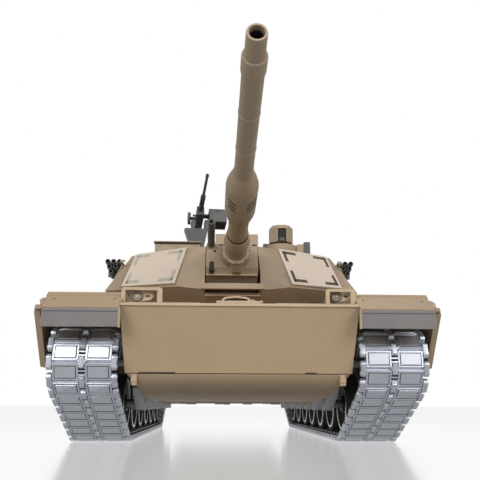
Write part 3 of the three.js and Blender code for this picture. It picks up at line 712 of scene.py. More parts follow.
def lower_hull():
    piece = Piece("hull_tub", "hull", "arm", "wheel", "rim", "dark")
    rows = [(-157.2, 41.2, 65.0, 41.3), (-155.4, 37.6, 63.4, 41.3), (-151.6, 34.0, 61.2, 41.3),
            (-146.0, 30.8, 59.2, 41.3), (-138.0, 28.3, 57.2, 41.3), (-126.0, 26.6, 55.2, 71),
            (-112.0, BELLY_Z, 54, 71), (277.0, BELLY_Z, 54, 71), (284.0, 29.0, 54.5, 71),
            (300.0, 43.0, 58.0, 71), (303.0, 47.0, 58.6, 71), (303.0, 71.0, 59.0, 71.4)]
    part = bmesh.new()
    sections = []
    for y, low, half, high in rows:
        top = max(half, 59.0)
        knee = min(low + 7.5, high)
        right = [(half - 3.0, low), (half - 0.6, low + (knee - low) * 0.25),
                (half + (top - half) * 0.5, low + (knee - low) * 0.6), (top, knee), (top, high)]
        ring = [(-x, z) for x, z in reversed(right)] + right
        sections.append([part.verts.new((x, y, z)) for x, z in ring])
    for a, b in zip(sections, sections[1:]):
        for k in range(len(a) - 1):
            part.faces.new((a[k], a[k + 1], b[k + 1], b[k]))
        part.faces.new((a[-1], a[0], b[0], b[-1]))
    part.faces.new(sections[0])
    part.faces.new(sections[-1])
    bmesh.ops.remove_doubles(part, verts=part.verts, dist=0.01)
    piece.merge(part)
    for side in (-1, 1):
        tow_lug(piece, side)
        axle_bosses(piece, side)
        for i in range(1, 8):
            arm = pivot(f"suspension_{'left' if side > 0 else 'right'}_{i}")
            piece.ring((side * 58.5, arm.y, arm.z), (side, 0, 0), 4.6, 7.6, 0, 1.5, 24, 0)
    for ends in ((-104, -4), (2, 140), (170, 268)):
        piece.box((-50, 50), ends, (25.1, 26.4), 0.4)
    for x in (-46, 46):
        for y in (-98, -54, -10, 8, 71, 134, 176, 219, 262):
            piece.bolt((x, y, 25.1), (0, 0, -1), 1.2, 0.6)
    for x in (-30, -10, 10, 30):
        piece.ring((x, -60, 25.0), (0, 0, -1), 0.8, 3.4, 0, 0.8, 20, 1)
    piece.ride("hull", "hull_paint", "lower_hull")


def tow_lug(piece, side):
    piece.box((side * 60.4 - 1.6, side * 60.4 + 1.6), (-157.8, -150.0), (34.8, 41.2), 0.5)
    piece.ring((side * 60.4 - 1.7, -156.6, 37.4), (1, 0, 0), 0.8, 1.9, 0, 3.4, 18)


def axle_bosses(piece, side):
    label = "left" if side > 0 else "right"
    for joint, boss in ((f"idler_spin_{label}", 7.0), (f"sprocket_spin_{label}", 10.0)):
        at = pivot(joint)
        at.x = side * 58.0
        out = Vector((side, 0, 0))
        piece.rod(at, at + out * 8.0, boss, 28, 0, soft=0.8)
        piece.rod(at, at + out * 46.6, 2.6, 18, 1)
        piece.rod(at + out * 46.4, at + out * 47.6, 3.6, 6, 1)
        for y, z in circle(8, boss - 1.6):
            spot = at + Vector((side * 8.0, y, z))
            piece.rod(spot, spot + out * 0.6, 0.7, 6, 1)
    for y in ROLLER_YS:
        at = Vector((side * 58.5, y, ROLLER_Z))
        out = Vector((side, 0, 0))
        piece.rod(at, at + out * 4.0, 5.0, 20, 0, soft=0.5)
        piece.rod(at, at + out * 45.0, 2.2, 14, 1)
        for centre in (-9.1, 9.1):
            piece.ring((side * TRACK_X + centre, y, ROLLER_Z), (1, 0, 0), 2.1, 6.4, -5.4, 5.4, 28, 2, 0.5)
            piece.ring((side * TRACK_X + centre, y, ROLLER_Z), (1, 0, 0), 2.1, 4.6, -5.7, 5.7, 24, 3, 0.2)


def nose(piece):
    """Nose plate and glacis: one tapered block, a thin lip along its upper edge painted lighter as a
    highlight, and seam slots painted as flat black shadow.
    """
    block = bmesh.new()
    rim = [(-157.5, SEAM_Z), (NOSE_Y, NOSE_TOP_Z), (GLACIS_END_Y, DECK_Z), (GLACIS_END_Y, 74.0),
            (-152.0, 74.0), (-152.0, SEAM_Z)]
    rings = []
    for side in (-1, 1):
        rings.append([block.verts.new((side * (65.8 + (z - SEAM_Z) * 2.3 / (NOSE_TOP_Z - SEAM_Z)), y,
                z)) for y, z in rim])
    block.faces.new(rings[0])
    block.faces.new(rings[1])
    for i in range(len(rim)):
        j = (i + 1) % len(rim)
        block.faces.new((rings[0][i], rings[0][j], rings[1][j], rings[1][i]))
    soften(block, 0.7)
    piece.merge(block)
    # Lip along the nose's top edge in the lighter tan: a painted highlight.
    piece.hull([(s * 67.6, y, z) for s in (-1, 1) for y,
            z in ((-175.4, 78.2), (-175.3, 79.5), (-173.6, 80.1), (-173.6, 78.4))], 0.3, 1)
    for x0, x1 in ((-58, -37), (38.5, 45)):
        piece.box((x0, x1), (-158.0, -156.4), (41.6, 42.2), 0.1, 2)
    for x in (-52, -26, 0, 26, 52):
        piece.bolt((x, -119, glacis_z(-119)), GLACIS_NORMAL, 1.1, 0.5)
    for side in (-1, 1):
        piece.hull([(side * x, y, glacis_z(y) + h) for x,
                y in ((24, -150), (60, -150), (60, -122), (24, -122)) for h in (-0.3, 0.9)], 0.3)


def fender(piece, side):
    """Sponson with a stepped outer edge, running the whole length, and its sloping front."""
    outline = [(67.4, DECK_Z), (112.4, DECK_Z), (113.5, 86.6), (113.8, 85.0), (116.0, 84.8),
            (116.6, 84.2), (116.6, 81.0), (117.5, 80.7), (118.0, 77.2), (116.8, 76.3), (112.0, 76.2),
            (112.0, 72.2), (67.4, 72.2)]
    piece.prism(flipped(side, outline), "y", -157.0, REAR_Y, 0.4)
    front = [(67.6, -155, DECK_Z), (112.4, -155, DECK_Z), (112.8, -156, 86.6), (110.0, -179.8, 76.9),
            (67.6, -180, 76.9), (67.6, -153, 84), (112, -153, 84), (109.6, -179.4, 75.8),
            (67.6, -179.5, 75.8)]
    piece.hull(flipped(side, front), 0.5)
    upper = [(113.0, -156.5, 84.9), (116.6, -156.5, 84.4), (116.6, -156.5, 80.0), (112.0, -156.5, 80.0),
            (115.6, -164.0, 82.6), (111.6, -176.5, 78.6), (109.4, -179.0, 77.2), (109.4, -178.6, 76.4),
            (111.0, -177.0, 76.6)]
    piece.hull(flipped(side, upper), 0.45)
    lower = [(112.0, -156.5, 80.8), (117.5, -156.5, 80.8), (118.0, -156.5, 76.4), (112.0, -156.5, 76.0),
            (117.0, -166.5, 79.6), (117.6, -166.5, 76.2), (113.0, -177.0, 76.9), (113.0, -177.0, 75.6),
            (109.8, -179.6, 76.8), (109.8, -179.6, 75.7)]
    piece.hull(flipped(side, lower), 0.45)
    for x, y in ((106.5, -167.0), (72.0, -166.0)):
        piece.rod((side * x, y, 88.45 + (y + 155.0) * 0.464 - 0.6),
                (side * x, y, 88.45 + (y + 155.0) * 0.464 + 0.12), 0.75, 12, 2, soft=0.05)
    for y in range(-140, 300, 40):
        piece.bolt((side * 115.0, y, 84.7), UP, 0.8, 0.4)


def deck(piece):
    """Deck plate with its panels, grilles, caps and handles."""
    piece.box((-68, 68), (GLACIS_END_Y - 0.5, REAR_Y), (86.2, DECK_Z), 0.5)
    for side in (-1, 1):
        for y0, y1 in ((-104, -60), (-56, -10), (120, 168), (172, 220), (224, 258)):
            piece.box(tuple(sorted((side * 74, side * 107))), (y0, y1), (DECK_Z - 0.2, DECK_Z + 0.9), 0.35)
            for y in (y0 + 4, y1 - 4):
                for x in (77.5, 103.5):
                    piece.bolt((side * x, y, DECK_Z + 0.9), UP, 0.9, 0.5)
            middle = (y0 + y1) / 2
            piece.handle((side * 90, middle - 5, DECK_Z + 0.6), (side * 90, middle + 5, DECK_Z + 0.6),
                    2.6, 0.6)
        low, high = sorted((side * 8, side * 60))
        for ends in ((130, 176), (182, 256)):
            piece.box((low, high), ends, (DECK_Z - 0.3, DECK_Z + 0.7), 0.3)
        for k in range(15):
            y = 187 + 4.6 * k
            piece.hull([(x, y + a, DECK_Z + b) for x in (low + 3, high - 3) for a,
                    b in ((0, 0.6), (3.0, 0.6), (2.6, 2.0), (1.7, 2.0))], 0.2)
    for x, y in ((-40, 118), (40, 118), (0, 122)):
        piece.ring((x, y, DECK_Z - 0.2), UP, 0.0001, 5.0, 0, 1.8, 26, 0, 0.5)
        piece.box((x - 3.4, x + 3.4), (y - 0.6, y + 0.6), (DECK_Z + 1.4, DECK_Z + 2.6), 0.3)


def rear_plate(piece):
    """Rear wall: exhaust louvres, lamps, tow eyes and the pintle."""
    piece.prism([(303.4, 50), (REAR_Y - 0.6, 54), (REAR_Y - 0.6, 80), (303.4, 86)], "x", -60, 60, 0.5)
    piece.box((-111.5, 111.5), (REAR_Y - 4, REAR_Y), (73, DECK_Z - 0.3), 0.4)
    for k in range(9):
        z = 57.5 + 2.3 * k
        piece.hull([(x, REAR_Y - 0.9 + a, z + b) for x in (-42, 42) for a,
                b in ((0, 0), (0, 1.9), (0.9, 0.4), (0.9, 0.9))], 0.12)
    for heights in ((55.6, 57.0), (78.6, 80.0)):
        piece.box((-44, 44), (REAR_Y - 1.0, REAR_Y - 0.2), heights, 0.2)
    for side in (-1, 1):
        low, high = sorted((side * 90, side * 105))
        piece.box((low, high), (REAR_Y - 1.2, REAR_Y - 0.1), (76, 84), 0.4)
        for x in (94, 101):
            piece.rod((side * x, REAR_Y - 1, 80), (side * x, REAR_Y - 0.05, 80), 2.6, 22, 3)
        piece.tube([(side * 50, 306, 58), (side * 50, 310.4, 57), (side * 50, 310.4, 50),
                (side * 50, 305, 49)], 1.5, 12)


def upper_hull():
    piece = Piece("hull_top", "hull", "trim_and_highlight", "dark", "red", "arm")
    nose(piece)
    for _, side in SIDES:
        fender(piece, side)
    deck(piece)
    rear_plate(piece)
    piece.ride("hull", "hull_paint", "upper_hull")


SKIRT_LOW_Z, SKIRT_TOP_Z = 45.7, 75.8
SKIRT_EDGES = (-144, -84, -24, 36, 96, 156, 228)


def skirts():
    """Seven armour panels a side, hung on lugs, with slanted ends."""
    for label, side in SIDES:
        piece = Piece(f"skirt_panels_{label}", "hull", "arm")
        low, high = sorted((side * 113.9, side * 117.3))
        panels = [[(-168.0, SKIRT_TOP_Z), (-144.2, SKIRT_LOW_Z), (-84.4, SKIRT_LOW_Z), (-84.4, SKIRT_TOP_Z)]]
        panels += [[(a + 0.3, SKIRT_LOW_Z), (b - 0.4, SKIRT_LOW_Z), (b - 0.4, SKIRT_TOP_Z), (a + 0.3,
                SKIRT_TOP_Z)] for a,
                b in zip(SKIRT_EDGES[1:], SKIRT_EDGES[2:])]
        panels.append([(228.3, 45.9), (240, 60), (298, 60), (305.6, SKIRT_TOP_Z), (228.3, SKIRT_TOP_Z)])
        for outline in panels:
            piece.prism(outline, "x", low, high, 0.5)
        for edge in SKIRT_EDGES[1:]:
            for offset in (-6, 6):
                for z in (51, 70):
                    piece.bolt((side * 117.2, edge + offset, z), (side, 0, 0), 1.1, 0.3)
        for y in range(-130, 290, 30):
            piece.box(tuple(sorted((side * 113.0, side * 116.0))), (y - 3, y + 3), (74.0, 77.4), 0.4)
        piece.ride("hull", "hull_paint", f"skirt_{label}")


def mud_flaps():
    """Rubber sheet hung under the fender's front edge, with a clamping bar and a tan strip along its inner
    edge.
    """
    for label, side in SIDES:
        piece = Piece(f"flap_{label}", "flap", "hull")
        sheet = [(68.0, -178.2, 65.8), (110.8, -178.2, 65.7), (110.0, -180.0, 76.0), (67.8, -180.0, 76.0)]
        back = [(x, y + 1.8, z) for x, y, z in sheet]
        piece.hull(flipped(side, sheet + back), 0.35)
        bar = [(68.2, -180.3, 74.2), (109.6, -180.3, 74.2), (109.6, -180.5, 75.9), (68.2, -180.5, 75.9),
                (68.2, -178.6, 74.2), (109.6, -178.6, 74.2), (109.6, -178.6, 75.9), (68.2, -178.6, 75.9)]
        piece.hull(flipped(side, bar), 0.3)
        piece.hull([(side * x, y, z) for x in (66.9, 68.2) for y,
                z in ((-180.2, 76.4), (-178.0, 76.4), (-176.6, 65.4), (-178.8, 65.4))], 0.3, 1)
        piece.ride("hull", "flap_rubber", f"mud_flap_{label}")


def headlights():
    """Round lamp in a teardrop housing with a slot, under an arched guard."""
    for label, side in SIDES:
        piece = Piece(f"lamp_{label}", "trim_and_highlight", "dark", "lens", "gun")
        y = -161.0
        lamp = Vector((56.9, y, 86.2) if side > 0 else (-59.8, y, 85.4))
        floor = glacis_z(y + 4) + 0.1
        left, right = (50.4, 67.9) if side > 0 else (-68.6, -45.0)
        teardrop = [(lamp.x + 3.9 * cos(a), lamp.z + 3.6 * sin(a)) for a in [radians(d) for d in range(60,
                301, 20)]]
        teardrop = [(x, max(z, floor)) for x, z in teardrop]
        teardrop += [(lamp.x + 7.8, lamp.z - 2.0), (lamp.x + 9.4, lamp.z - 0.4),
                (lamp.x + 9.2, lamp.z + 1.2), (lamp.x + 7.6, lamp.z + 2.2)]
        piece.prism(teardrop, "y", y - 0.6, y + 3.4, 0.35)
        piece.ring((lamp.x, y + 0.5, lamp.z), (0, -1, 0), 2.35, 3.25, -1, 2.3, 36, 3, 0.2)
        piece.ring((lamp.x, y + 0.5, lamp.z), (0, -1, 0), 1.9, 2.4, -1, 1.9, 36, 0, 0.15)
        dome = [(0, 1.9), (0.8, 1.8), (1.5, 1.5), (2.0, 1.0), (2.0, -0.5), (0, -0.5)]
        piece.lathe(dome, (lamp.x, y + 0.5, lamp.z), (0, -1, 0), 30, 2)
        slot = [(lamp.x + 6.0 + 1.35 * a, lamp.z + 0.2 + 0.62 * b) for a, b in circle(16, 1)]
        piece.prism(slot, "y", y - 0.66, y, 0.0, 1)
        guard = [(left, floor - 0.8), (left, 89.2), (left + 1.2, 90.2), (right - 1.2, 90.2),
                (right, 89.2), (right, floor - 0.8), (right - 3.0, floor - 0.8), (right - 3.0, 88.4),
                (left + 2.2, 88.6), (left + 2.2, floor - 0.8)]
        piece.prism(guard, "y", y - 4.6, y - 3.0, 0.3)
        brace = ((y - 4, 89.0), (y - 4, floor), (y + 6, floor + 0.6), (y + 3, floor + 2.0))
        for ends in ((left + 0.4, left + 1.6), (right - 1.6, right - 0.4)):
            piece.hull([(x, yy, z) for x in ends for yy, z in brace], 0.25)
        piece.hull([(x, yy, glacis_z(yy) + h) for x in (left + 0.2, right - 0.2) for yy in (y - 5,
                y + 6) for h in (0.0, 0.7)], 0.2)
        for x in (left + 1.2, right - 1.5):
            piece.bolt((x, y + 4.6, glacis_z(y + 4.6) + 0.7), GLACIS_NORMAL, 0.6, 0.4)
        piece.ride("hull", "lamp_paint", f"headlight_{label}")


def driver_hatch():
    piece = Piece("driver_hatch_lid", "trim_and_highlight", "glass", "hull")
    corners = [(-13.6, -151.6), (13.4, -151.6), (13.4, -126.4), (-13.6, -126.4)]
    piece.hull([(x, y, glacis_z(y) + h) for x, y in corners for h in (0.4, 2.2)], 0.5)
    inner = [(-10, -147), (10, -147), (10, -130), (-10, -130)]
    piece.hull([(x, y, glacis_z(y) + h) for x, y in inner for h in (2.0, 3.0)], 0.4, 2)
    arch = [(-10.6, 83.0), (-10.2, 86.0), (-8.2, 87.2), (-1.7, 87.9), (4.8, 87.2), (6.8, 86.0), (7.2, 83.0)]
    under = [(5.9, 83.0), (5.6, 85.4), (4.0, 86.2), (-1.7, 86.8), (-7.4, 86.2), (-9.0, 85.4), (-9.3, 83.0)]
    piece.prism(arch + under, "y", -151.4, -148.6, 0.25)
    piece.box((-9.4, 6.0), (-149.4, -148.8), (83.0, 86.6), 0.1, 1)
    piece.rod((14.2, -146.0, glacis_z(-146) + 1.6), (14.2, -128.0, glacis_z(-128) + 1.6), 0.9, 14)
    piece.ride("driver_hatch", "hull_paint", "driver_hatch")


def engine_door():
    piece = Piece("engine_door_lid", "hull", "arm", "dark")
    low, high = node_box("engine_door")
    piece.box((low.x + 0.1, high.x - 0.1), (262.1, 299.9), (low.z + 0.1, DECK_Z + 2.0), 0.5)
    for k in range(6):
        y = 267 + 5.2 * k
        piece.hull([(x, y + a, DECK_Z + b) for x in (-52, 52) for a,
                b in ((0, 1.8), (3.6, 1.8), (3.0, 2.7), (1.2, 2.7))], 0.2)
    piece.rod((-56, 300.5, DECK_Z + 1.8), (56, 300.5, DECK_Z + 1.8), 1.25, 16, 1)
    for x in (-57, 57):
        for y in (266, 296):
            piece.bolt((x, y, DECK_Z + 2.0), UP, 1.0, 0.5)
    piece.handle((-6, 264.4, DECK_Z + 1.8), (6, 264.4, DECK_Z + 1.8), 2.0, 0.6)
    piece.ride("engine_door", "hull_paint", "engine_door")


def inner_parts():
    for node, material in (("battery_pack", "cell"), ("control_board", "board"), ("drive_unit", "inner"),
            ("power_switch", "inner")):
        repaint(node, material)


# ------------------------------------------------------------------------------- turret
ROOF_Z = 150.0
HATCH_Y = 74.0
CHEEK_NORMAL = Vector((0.3925, -0.606, 0.692)).normalized()
CHEEK_OFFSET = 124.05 + 1.2
PANEL_CORNERS = ((37, -9.5), (82.6, 20.5), (89.5, -15.0), (44.4, -47.3))
PANEL_HEIGHTS = (149.3, 149.3, 115.5, 113.0)
MARK_LONG, MARK_WIDTH = (0.26, 0.3), (0.055, 0.075)


def panel_frame():
    """Cheek panel corners on its surface: inner top, outer top, outer bottom, inner bottom."""
    corners = []
    for (x, y), z in zip(PANEL_CORNERS, PANEL_HEIGHTS):
        point = Vector((x, y, z))
        corners.append(point + CHEEK_NORMAL * (CHEEK_OFFSET - point.dot(CHEEK_NORMAL)))
    return corners


def on_panel(u, v, height, side):
    """u runs from the inner to the outer edge and v from the top to the bottom, each 0 to 1."""
    a, b, c, d = panel_frame()
    point = a.lerp(b, u).lerp(d.lerp(c, u), v) + CHEEK_NORMAL * height
    return (side * point.x, point.y, point.z)


def cheek_panels():
    for label, side in SIDES:
        piece = Piece(f"cheek_plate_{label}", "panel", "mark_green" if side < 0 else "mark_brown")
        piece.hull([on_panel(u, v, h, side) for u in (0.004, 0.996) for v in (0.004,
                0.996) for h in (-0.3, 0.35)], 0.25)
        for u0, du in ((0.06, 1), (0.94, -1)):
            for v0, dv in ((0.07, 1), (0.93, -1)):
                bars = (((u0, u0 + du * MARK_LONG[0]), (v0, v0 + dv * MARK_WIDTH[1])),
                        ((u0, u0 + du * MARK_WIDTH[0]), (v0, v0 + dv * MARK_LONG[1])))
                for us, vs in bars:
                    piece.hull([on_panel(u, v, h, side) for u in us for v in vs for h in (0.2, 0.5)], 0.06, 1)
        piece.ride("turret", "turret_paint")


def turret_shell():
    piece = Piece("turret_body", "turret", "trim_and_highlight", "dark", "glass", "gun")
    piece.node("turret_shell", 0.45)
    piece.box((-23.6, 21.6), (-60.5, -59.6), (107.7, 112.0), 0.3)
    # Bar under the turret's front in the lighter tan: a painted highlight on the lit lip.
    piece.rod((-22.0, -51.2, 104.3), (20.0, -51.2, 104.3), 0.7, 10, 1)
    roof_details(piece)
    side_details(piece)
    piece.ride("turret", "turret_paint", "turret_shell")


def roof_details(piece):
    cupola, loader = pivot("cradle_turn"), pivot("loader_hatch_hinge")
    viewer = pivot("viewer_turn")
    for k, (x, y) in enumerate(circle(8, 20.6, 0.5)):
        at = Vector((cupola.x + x, cupola.y + y, 153.4))
        piece.at(Matrix.Translation(at) @ rotation(360 * (k + 0.5) / 8, "Z"))
        piece.box((-1.2, 1.6), (-4.6, 4.6), (-2.6, 2.6), 0.4)
        piece.box((1.2, 1.85), (-3.6, 3.6), (-1.4, 1.7), 0.15, 3)
    piece.at(Matrix.Identity(4))
    piece.ring((cupola.x, cupola.y, 149.0), UP, 20.0, 24.6, 0, 1.9, 48)
    piece.ring((loader.x, HATCH_Y, 149.0), UP, 15.0, 21.5, 0, 2.2, 48)
    for x, y in circle(12, 20.0):
        piece.bolt((loader.x + x, HATCH_Y + y, 151.2), UP, 0.7, 0.4)
    for x, y in circle(10, 12.6):
        piece.bolt((viewer.x + x, viewer.y + y, 159.0), UP, 0.6, 0.35)
    piece.box((27.5, 33.5), (14, 25), (ROOF_Z - 1, 160.5), 0.6, 4)
    piece.box((57, 66.5), (14, 29), (ROOF_Z - 1, 160.4), 0.6)
    piece.box((63, 68.4), (13, 27), (ROOF_Z - 1, 162.2), 0.5, 4)
    for x0, x1, y0, y1 in ((-76, -20, 112, 142), (-16, 16, 106, 142), (20, 76, 112, 142),
            (-74, 74, 152, 176), (-74, -2, 180, 214), (2, 74, 180, 214)):
        piece.box((x0, x1), (y0, y1), (ROOF_Z - 3.4, ROOF_Z + 0.7 if y1 < 150 else ROOF_Z - 0.2), 0.4)
        for x in (x0 + 3, x1 - 3):
            for y in (y0 + 3, y1 - 3):
                piece.bolt((x, y, ROOF_Z + (0.7 if y1 < 150 else -0.2)), UP, 0.8, 0.45)
    for side in (-1, 1):
        at = Vector((side * 68, 205, ROOF_Z - 1))
        piece.rod(at, at + Vector((0, 0, 3)), 4.2, 24)
        piece.rod(at + Vector((0, 0, 3)), at + Vector((0, 0, 10)), 2.4, 20, 4, 1.9)
        piece.rod(at + Vector((0, 0, 10)), at + Vector((0, 0, 12.5)), 1.0, 14, 4)
        for x, y in ((74, 40), (74, 130)):
            piece.handle((side * x, y - 4, ROOF_Z - 1), (side * x, y + 4, ROOF_Z - 1), 4.4, 0.9, 10)
    piece.rod((0, 208, ROOF_Z - 2), (0, 208, ROOF_Z + 16), 1.1, 14)
    piece.ring((0, 208, ROOF_Z + 13), UP, 0.001, 2.6, 0, 4.4, 20, 4, 0.8)


def taper(y):
    """How far the flank boxes draw in towards the rear."""
    return 0 if y < 150 else (y - 150) * 0.18


def side_details(piece):
    """Stowage boxes, rails and their drops along both flanks."""
    for side in (-1, 1):
        def flank(y, z, out=0.0):
            reach = 105 - (z - 115) * 0.50 - max(0.0, y) * 0.026
            return (side * (reach + out), y, z)
        for y0, y1 in ((92, 128), (132, 168), (172, 208)):
            near = [flank(y, z, -3.5 - taper(y)) for y in (y0, y1) for z in (118, 143)]
            far = [flank(y, z, 2.2 - taper(y)) for y in (y0, y1) for z in (119, 142)]
            piece.hull(near + far, 0.6)
            for y in (y0 + 5, y1 - 5):
                x, yy, z = flank(y, 140, 2.0 - taper(y))
                piece.box((x - 0.9, x + 0.9), (yy - 1.4, yy + 1.4), (z - 3.4, z + 1.2), 0.25)
        piece.tube([flank(6, 142, -1), flank(6, 142, 3), flank(62, 142, 3), flank(62, 142, -1)], 0.9, 10)
        for y in (20, 34, 48):
            piece.tube([flank(y, 142, 3), flank(y, 124, 3), flank(y, 124, -2)], 0.7, 8)


def rack():
    """Open bar basket behind the bustle."""
    low, high = node_box("bustle_rack")
    piece = Piece("rear_basket", "turret", "arm")
    x0, x1, y0, y1 = low.x + 1.0, high.x - 1.0, low.y + 0.8, high.y - 1.0
    for z in (low.z + 1.0, low.z + 7, low.z + 13, high.z - 1.0):
        piece.tube([(x0, y0, z), (x0, y1, z), (x1, y1, z), (x1, y0, z)], 0.95, 10)
    for k in range(9):
        x = x0 + (x1 - x0) * k / 8
        piece.tube([(x, y0, low.z + 1.0), (x, y1, low.z + 1.0), (x, y1, high.z - 1.0)], 0.85, 8)
    for k in range(4):
        y = y0 + (y1 - y0) * k / 3
        for x in (x0, x1):
            piece.rod((x, y, low.z + 1.0), (x, y, high.z - 1.0), 0.85, 8)
    for k in range(1, 4):
        y = y0 + (y1 - y0) * k / 4
        piece.rod((x0, y, low.z + 1.0), (x1, y, low.z + 1.0), 0.7, 8)
    piece.box((x0, x1), (y0 - 0.4, y0 + 0.8), (low.z + 0.2, high.z - 0.3), 0.3)
    piece.ride("turret", "turret_paint", "bustle_rack")


def sight_box():
    low, high = node_box("sight_box")
    piece = Piece("gunner_sight", "turret", "dark", "glass", "trim_and_highlight")
    top = high.z
    piece.box((low.x + 1, high.x - 1), (low.y + 2, high.y - 1), (low.z + 0.1, top - 1.8), 0.6)
    piece.wedge((low.x, high.x), ((low.y, top - 0.8), (low.y, top - 1.7), (high.y, top - 2.1),
            (high.y, top), (low.y + 6, top)), 0.3)
    piece.box((low.x + 1.2, high.x - 1.2), (low.y + 1.0, low.y + 2.4), (top - 3.0, top - 1.9), 0.1, 1)
    middle = (low.x + high.x) / 2
    for x0, x1 in ((low.x + 3, middle - 1), (middle + 1, high.x - 3)):
        piece.box((x0, x1), (low.y + 1.4, low.y + 2.6), (low.z + 2, top - 4), 0.3)
        for x in (x0 + 2, x1 - 2):
            piece.rod((x, low.y + 1.4, top - 5), (x, low.y + 0.9, top - 5), 0.7, 6)
    for x in (low.x + 5, high.x - 5):
        for y in (low.y + 8, high.y - 4):
            piece.bolt((x, y, top - 0.2), UP, 0.9, 0.4)
    piece.ride("turret", "turret_paint", "sight_box")


LAUNCHER_X, LAUNCHER_Y, LAUNCHER_TOP_Z = 103.8, 76.2, 150.6
LAUNCHER_TUBES = ((0, 0), (1, 0), (2, 0), (1, 1), (2, 1), (2, 2))
TUBE_PITCH, ROW_STEP, ROW_DROP = 4.9, 1.7, 4.8
TUBE_FAN, TUBE_RISE = 2.5, 18


def smoke_launchers():
    """Six dark tubes fanned in three short rows on a cast plate, with a sloping tan arm."""
    for label, side in SIDES:
        piece = Piece(f"smoke_tubes_{label}", "gun", "turret", "dark")
        y = LAUNCHER_Y
        for column, row in LAUNCHER_TUBES:
            reach = LAUNCHER_X + TUBE_PITCH * column - ROW_STEP * row
            at = Vector((side * reach, y, LAUNCHER_TOP_Z - ROW_DROP * row))
            turn = rotation(side * TUBE_FAN * column, "Z") @ rotation(-TUBE_RISE, "X")
            piece.at(Matrix.Translation(at) @ turn)
            piece.lathe([(0, -0.4), (1.9, -0.4), (2.3, 0.2), (2.3, 11.9), (2.15, 12.1), (1.65, 12.1),
                    (1.55, 11.9), (1.55, 5.0), (0, 5.0)], ORIGIN, FORWARD, 22)
            piece.ring(ORIGIN, FORWARD, 2.15, 2.5, 9.2, 10.2, 22, 0, 0.1)
        piece.at(Matrix.Identity(4))
        plate = [(100.0, 142.0), (108.0, 139.6), (115.0, 141.0), (115.0, 154.6), (101.0, 154.8)]
        piece.prism(flipped(side, plate), "y", y - 1.8, y + 1.2, 0.5)
        arm = [(99.0, 141.5), (106.4, 140.2), (104.0, 147.8), (97.0, 147.8), (96.0, 130.0), (100.5, 131.0)]
        piece.hull([(side * x, yy, z) for x, z in arm for yy in (y - 2.0, y + 3.8)], 0.5, 1)
        piece.hull([(side * x, yy, z) for x, z in ((88.0, 128.0), (102.0, 126.0), (100.5, 143.0),
                (88.0, 144.0)) for yy in (y - 6.0, y + 14.0)], 0.6, 1)
        piece.ride("turret", "gun_grey", f"smoke_launcher_{label}")


def viewer():
    """Octagonal thermal viewer head with a recessed dark window, a rim and a top pin."""
    at = pivot("viewer_turn")
    piece = Piece("viewer_housing", "turret", "glass", "gun", "trim_and_highlight")
    eight = circle(8, 1, 0.5)
    piece.at(Matrix.Translation((at.x, at.y, 0)))
    piece.hull([(r * x, r * y, z) for x, y in eight for r,
            z in ((11.0, 161.6), (11.0, 174.6), (10.4, 175.6))], 0.35)
    piece.hull([(r * x, r * y, z) for x, y in eight for r, z in ((9.4, 175.2), (8.8, 177.2))], 0.3)
    piece.ring(ORIGIN, UP, 0.001, 8.0, 159.6, 161.8, 36, 2, 0.3)
    for x0, x1, z0, z1 in ((-4.6, -3.9, 161.8, 174.4), (3.9, 4.6, 161.8, 174.4), (-4.6, 4.6, 173.6, 174.4)):
        piece.box((x0, x1), (-11.0, -9.6), (z0, z1), 0.2, 3)
    piece.box((-4.0, 4.0), (-10.5, -9.6), (161.7, 173.7), 0.1, 1)
    piece.box((-2.2, 2.2), (-10.8, -10.3), (162.2, 165.0), 0.2, 2)
    piece.rod((0, 2, 176.8), (0, 2, 179.0), 0.75, 10, 2)
    for x, y in eight:
        piece.bolt((x * 7.4, y * 7.4, 177.2), UP, 0.5, 0.3)
    piece.ride("viewer", "turret_paint", "viewer_head")


def hatches():
    for name, z, radius in (("commander_hatch", 160.4, 15.0), ("loader_hatch", 155.2, 16.0)):
        hinge = pivot(f"{name}_hinge")
        x, y = hinge.x, HATCH_Y
        piece = Piece(f"{name}_lid", "turret", "arm", "glass")
        lid = [(0, -1.2), (radius - 0.6, -1.2), (radius, -0.7), (radius, 0.4), (radius - 1.2, 1.1),
                (radius * 0.7, 1.5), (radius * 0.62, 2.0), (0, 2.3)]
        piece.lathe(lid, (x, y, z), UP, 44)
        reach = hinge.y - y
        piece.hull([(x + a, y + b, z + c) for a in (-5, 5) for b in (radius - 5, reach) for c in (-1.0,
                1.4)], 0.5)
        piece.rod((x - 6, y + reach, z), (x + 6, y + reach, z), 1.5, 16, 1)
        piece.handle((x - 4, y - 6, z + 1.6), (x + 4, y - 6, z + 1.6), 2.2, 0.7, 10)
        for a, b in circle(8, radius - 2.4, 0.5):
            piece.bolt((x + a, y + b, z + 1.0), UP, 0.7, 0.5)
        piece.ride(name, "turret_paint", name)


# ------------------------------------------------------------------------------- gun
GUN_AXIS = pivot("gun_elevation")
GUN_REST = 8.3
MUZZLE = 304.0
GUN_FRAME = Matrix.Translation(GUN_AXIS) @ rotation(-GUN_REST, "X")


